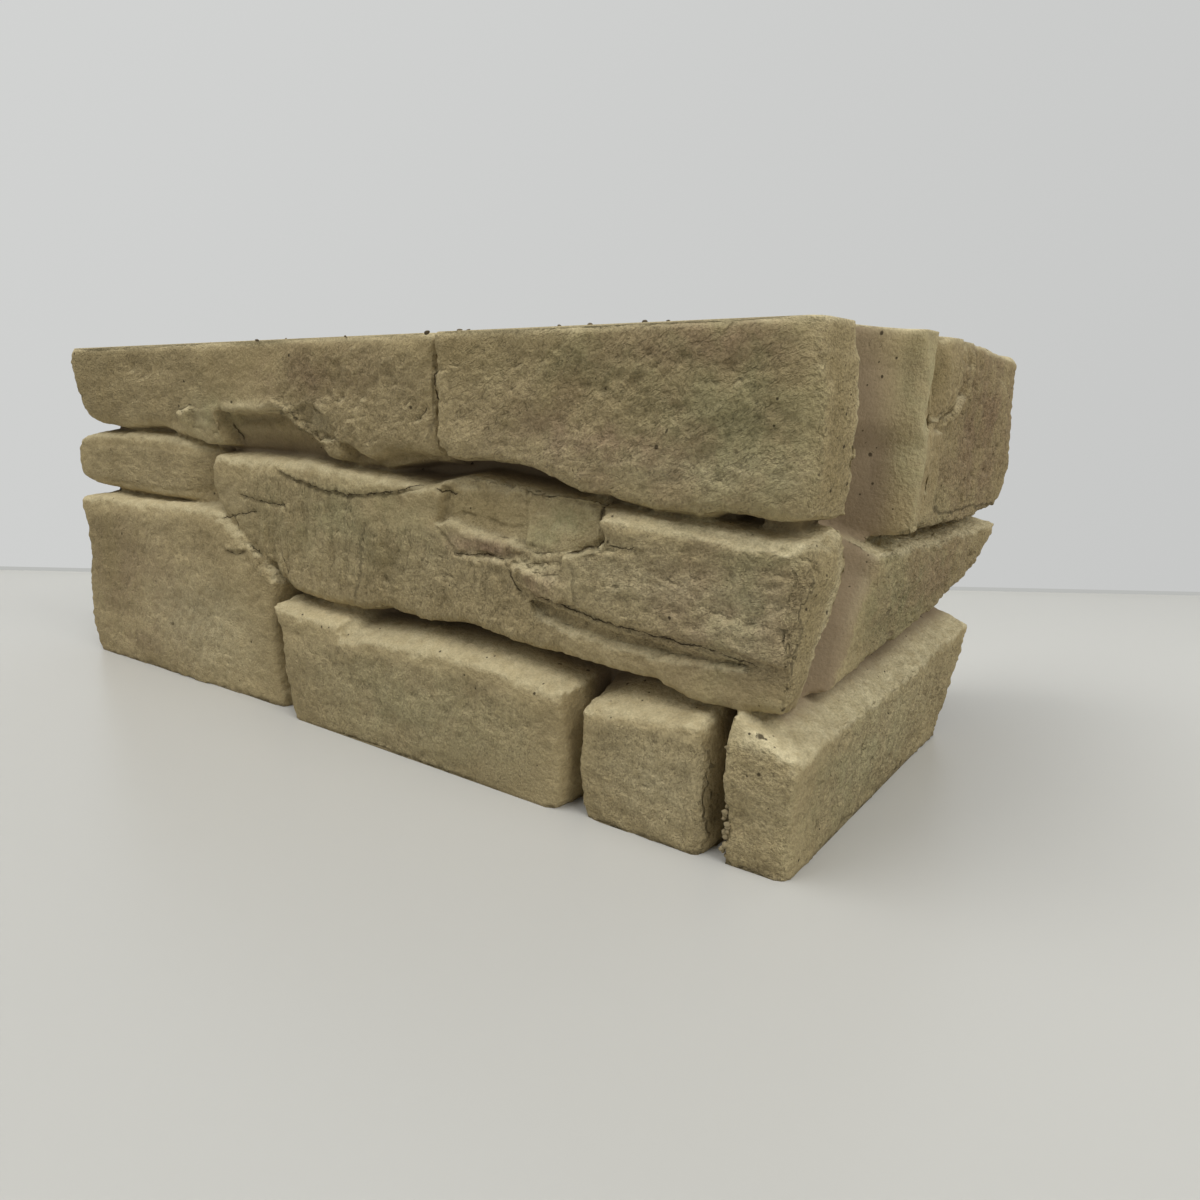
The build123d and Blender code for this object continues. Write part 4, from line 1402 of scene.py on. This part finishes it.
@dataclass
class Setting:
    """The white table and wall, the lamps and the camera."""

    focal: float = 26.4
    sensor: float = 36.0
    eye: tuple[float, float, float] = (154.94, -324.35, 171.81)
    turn: float = 35.72
    tilt: float = 12.905
    roll: float = -0.802
    wall_from: tuple[float, float] = (-801.0, 30.0)
    wall_to: tuple[float, float] = (125.0, 646.0)
    wall_past: float = 2.0
    wall_height: float = 1.6
    seam_height: float = 0.0035
    floor_size: float = 4.0

    def build(self) -> None:
        """Make the camera, the lamps and the surroundings."""
        self._camera()
        self._floor()
        self._wall()
        self._lamps()
        bpy.context.scene.view_settings.view_transform = "Standard"

    def _camera(self) -> None:
        """Set the camera where the photograph was taken."""
        turn, tilt, roll = (math.radians(v) for v in (self.turn, self.tilt, self.roll))
        ahead = Vector((-math.sin(turn) * math.cos(tilt), math.cos(turn) * math.cos(tilt), -math.sin(tilt)))
        level = Vector((math.cos(turn), math.sin(turn), 0.0))
        down = ahead.cross(level)
        right = level * math.cos(roll) + down * math.sin(roll)
        below = down * math.cos(roll) - level * math.sin(roll)
        data = bpy.data.cameras.new("camera")
        data.lens = self.focal
        data.sensor_width = self.sensor
        data.clip_start = 0.01
        camera = bpy.data.objects.new("camera", data)
        matrix = Matrix((right, -below, -ahead)).transposed().to_4x4()
        matrix.translation = Vector(self.eye) * MM
        camera.matrix_world = matrix
        bpy.context.scene.collection.objects.link(camera)
        bpy.context.scene.camera = camera

    def _sheet(self, name: str, corners: list[tuple[float, float, float]]) -> bpy.types.Object:
        """Make one flat four-cornered sheet that isn't part of the object."""
        mesh = bpy.data.meshes.new(name)
        mesh.from_pydata(corners, [], [(0, 1, 2, 3)])
        sheet = bpy.data.objects.new(name, mesh)
        bpy.context.scene.collection.objects.link(sheet)
        return sheet

    def _floor(self) -> None:
        """Make the pale table top, its colour painted lighter to the left and to the back and darker at the front,
        as light falls there.
        """
        size = self.floor_size
        floor = self._sheet("floor", [(-size, -size, 0), (size, -size, 0), (size, size, 0), (-size, size, 0)])
        material, sheet = new_material("pale_table")
        across, along, _ = sheet.object_axes()
        # painted light: the table's colour lighter to the left and to the back, darker at the front
        sideways = sheet.add("ShaderNodeMapRange", {0: across, 1: -0.7, 2: 0.0, 3: 1.1, 4: 1.0}).outputs[0]
        away = sheet.add("ShaderNodeMapRange", {0: along, 1: -0.2, 2: 0.25, 3: 0.93, 4: 1.1}).outputs[0]
        colour = sheet.shaded(linear("c7c6c0"), sheet.times(sideways, away))
        shader = sheet.add("ShaderNodeBsdfPrincipled", {"Base Color": colour, "Roughness": 0.32})
        sheet.add("ShaderNodeOutputMaterial", {0: shader.outputs[0]})
        floor.data.materials.append(material)

    def _wall(self) -> None:
        """Make the pale wall, which glows with painted light for camera and glossy rays, and the grey strip of
        painted shadow along its foot; both are seen from their front only.
        """
        start, end = (Vector((*p, 0)) * MM for p in (self.wall_from, self.wall_to))
        way = (end - start).normalized()
        left, right = start - way * self.wall_past, end + way * self.wall_past
        up = Vector((0, 0, self.wall_height))
        wall = self._sheet("wall", [tuple(left), tuple(right), tuple(right + up), tuple(left + up)])
        material, sheet = new_material("pale_wall")
        # painted light: the wall glows for camera and glossy rays, brighter to the left and towards the top; other
        # rays find it matt
        ray = sheet.add("ShaderNodeLightPath").outputs
        seen = sheet.math("MAXIMUM", ray["Is Camera Ray"], ray["Is Glossy Ray"])
        across, _, high = sheet.object_axes()
        sideways = sheet.grade(across, -0.9, 0.3, 1.045, 0.955)
        upward = sheet.grade(high, 0.0, 0.9, 0.965, 1.02)
        glow = sheet.add("ShaderNodeEmission", {"Color": linear("cecfce")})
        sheet.tree.links.new(sheet.times(sideways, upward), glow.inputs["Strength"])
        matt = sheet.add("ShaderNodeBsdfDiffuse", {"Color": linear("cfd0cf")})
        front = sheet.add("ShaderNodeMixShader", {0: seen, 1: matt.outputs[0], 2: glow.outputs[0]})
        self._from_front(sheet, front)
        wall.data.materials.append(material)
        # a thin grey strip that glows just in front of the wall's foot: a painted shadow line where wall meets
        # table
        low = Vector((0, 0, self.seam_height))
        near = Vector((way.y, -way.x, 0)) * MM
        seam_shadow = self._sheet("seam_shadow", [tuple(p + near) for p in (left, right, right + low, left + low)])
        dull, sheet = new_material("seam_shadow")
        self._from_front(sheet, sheet.add("ShaderNodeEmission", {"Color": linear("b9bab7"), "Strength": 1.0}))
        seam_shadow.data.materials.append(dull)

    def _from_front(self, sheet: NodeSheet, front: bpy.types.Node) -> None:
        """End a material that is clear when it is seen from behind."""
        facing = sheet.add("ShaderNodeNewGeometry").outputs["Backfacing"]
        clear = sheet.add("ShaderNodeBsdfTransparent")
        both = sheet.add("ShaderNodeMixShader", {0: facing, 1: front.outputs[0], 2: clear.outputs[0]})
        sheet.add("ShaderNodeOutputMaterial", {0: both.outputs[0]})

    def _lamps(self) -> None:
        """Light the table softly from above."""
        for name, spot, size, power in (
            ("key", (-0.6, -0.5, 1.6), 1.2, 15.5),
            ("fill", (1.2, -0.3, 1.4), 1.2, 17.5),
        ):
            data = bpy.data.lights.new(name, "AREA")
            data.shape = "SQUARE"
            data.size = size
            data.energy = power
            lamp = bpy.data.objects.new(name, data)
            lamp.location = spot
            aim = Vector((-0.2, 0.0, 0.1)) - Vector(spot)
            lamp.rotation_euler = aim.to_track_quat("-Z", "Y").to_euler()
            bpy.context.scene.collection.objects.link(lamp)
        world = bpy.data.worlds.new("room")
        world.use_nodes = True
        ground = world.node_tree.nodes["Background"]
        ground.inputs["Color"].default_value = linear("f2f3f4")
        ground.inputs["Strength"].default_value = 0.36
        bpy.context.scene.world = world


def main() -> None:
    """Build the casting and its setting, and report each piece."""
    logging.basicConfig(level=logging.INFO, format="%(name)s: %(message)s")
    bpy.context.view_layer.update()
    groups = SharedGroups()
    finishes = {
        "dressed": DressedFinish().build("weathered_sandstone", groups),
        "plain": PlainFinish("a89a7c", "978969").build("plain_cement", groups),
        "crumb": PlainFinish("6f6451", "554b3a").build("dark_crumb", groups),
    }
    piece = Casting().build(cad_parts[NODE], finishes)
    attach(piece, "root")
    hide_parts(NODE)
    for loose, finish in (
        (Crumbs("top_crumbs", TOP_CRUMBS), finishes["crumb"]),
        (Crumbs("edge_crumbs", edge_crumbs(5), flatness=1.0), finishes["plain"]),
    ):
        grains = loose.build(finish)
        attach(grains, "root")
    Setting().build()
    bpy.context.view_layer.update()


if __name__ == "__main__":
    main()
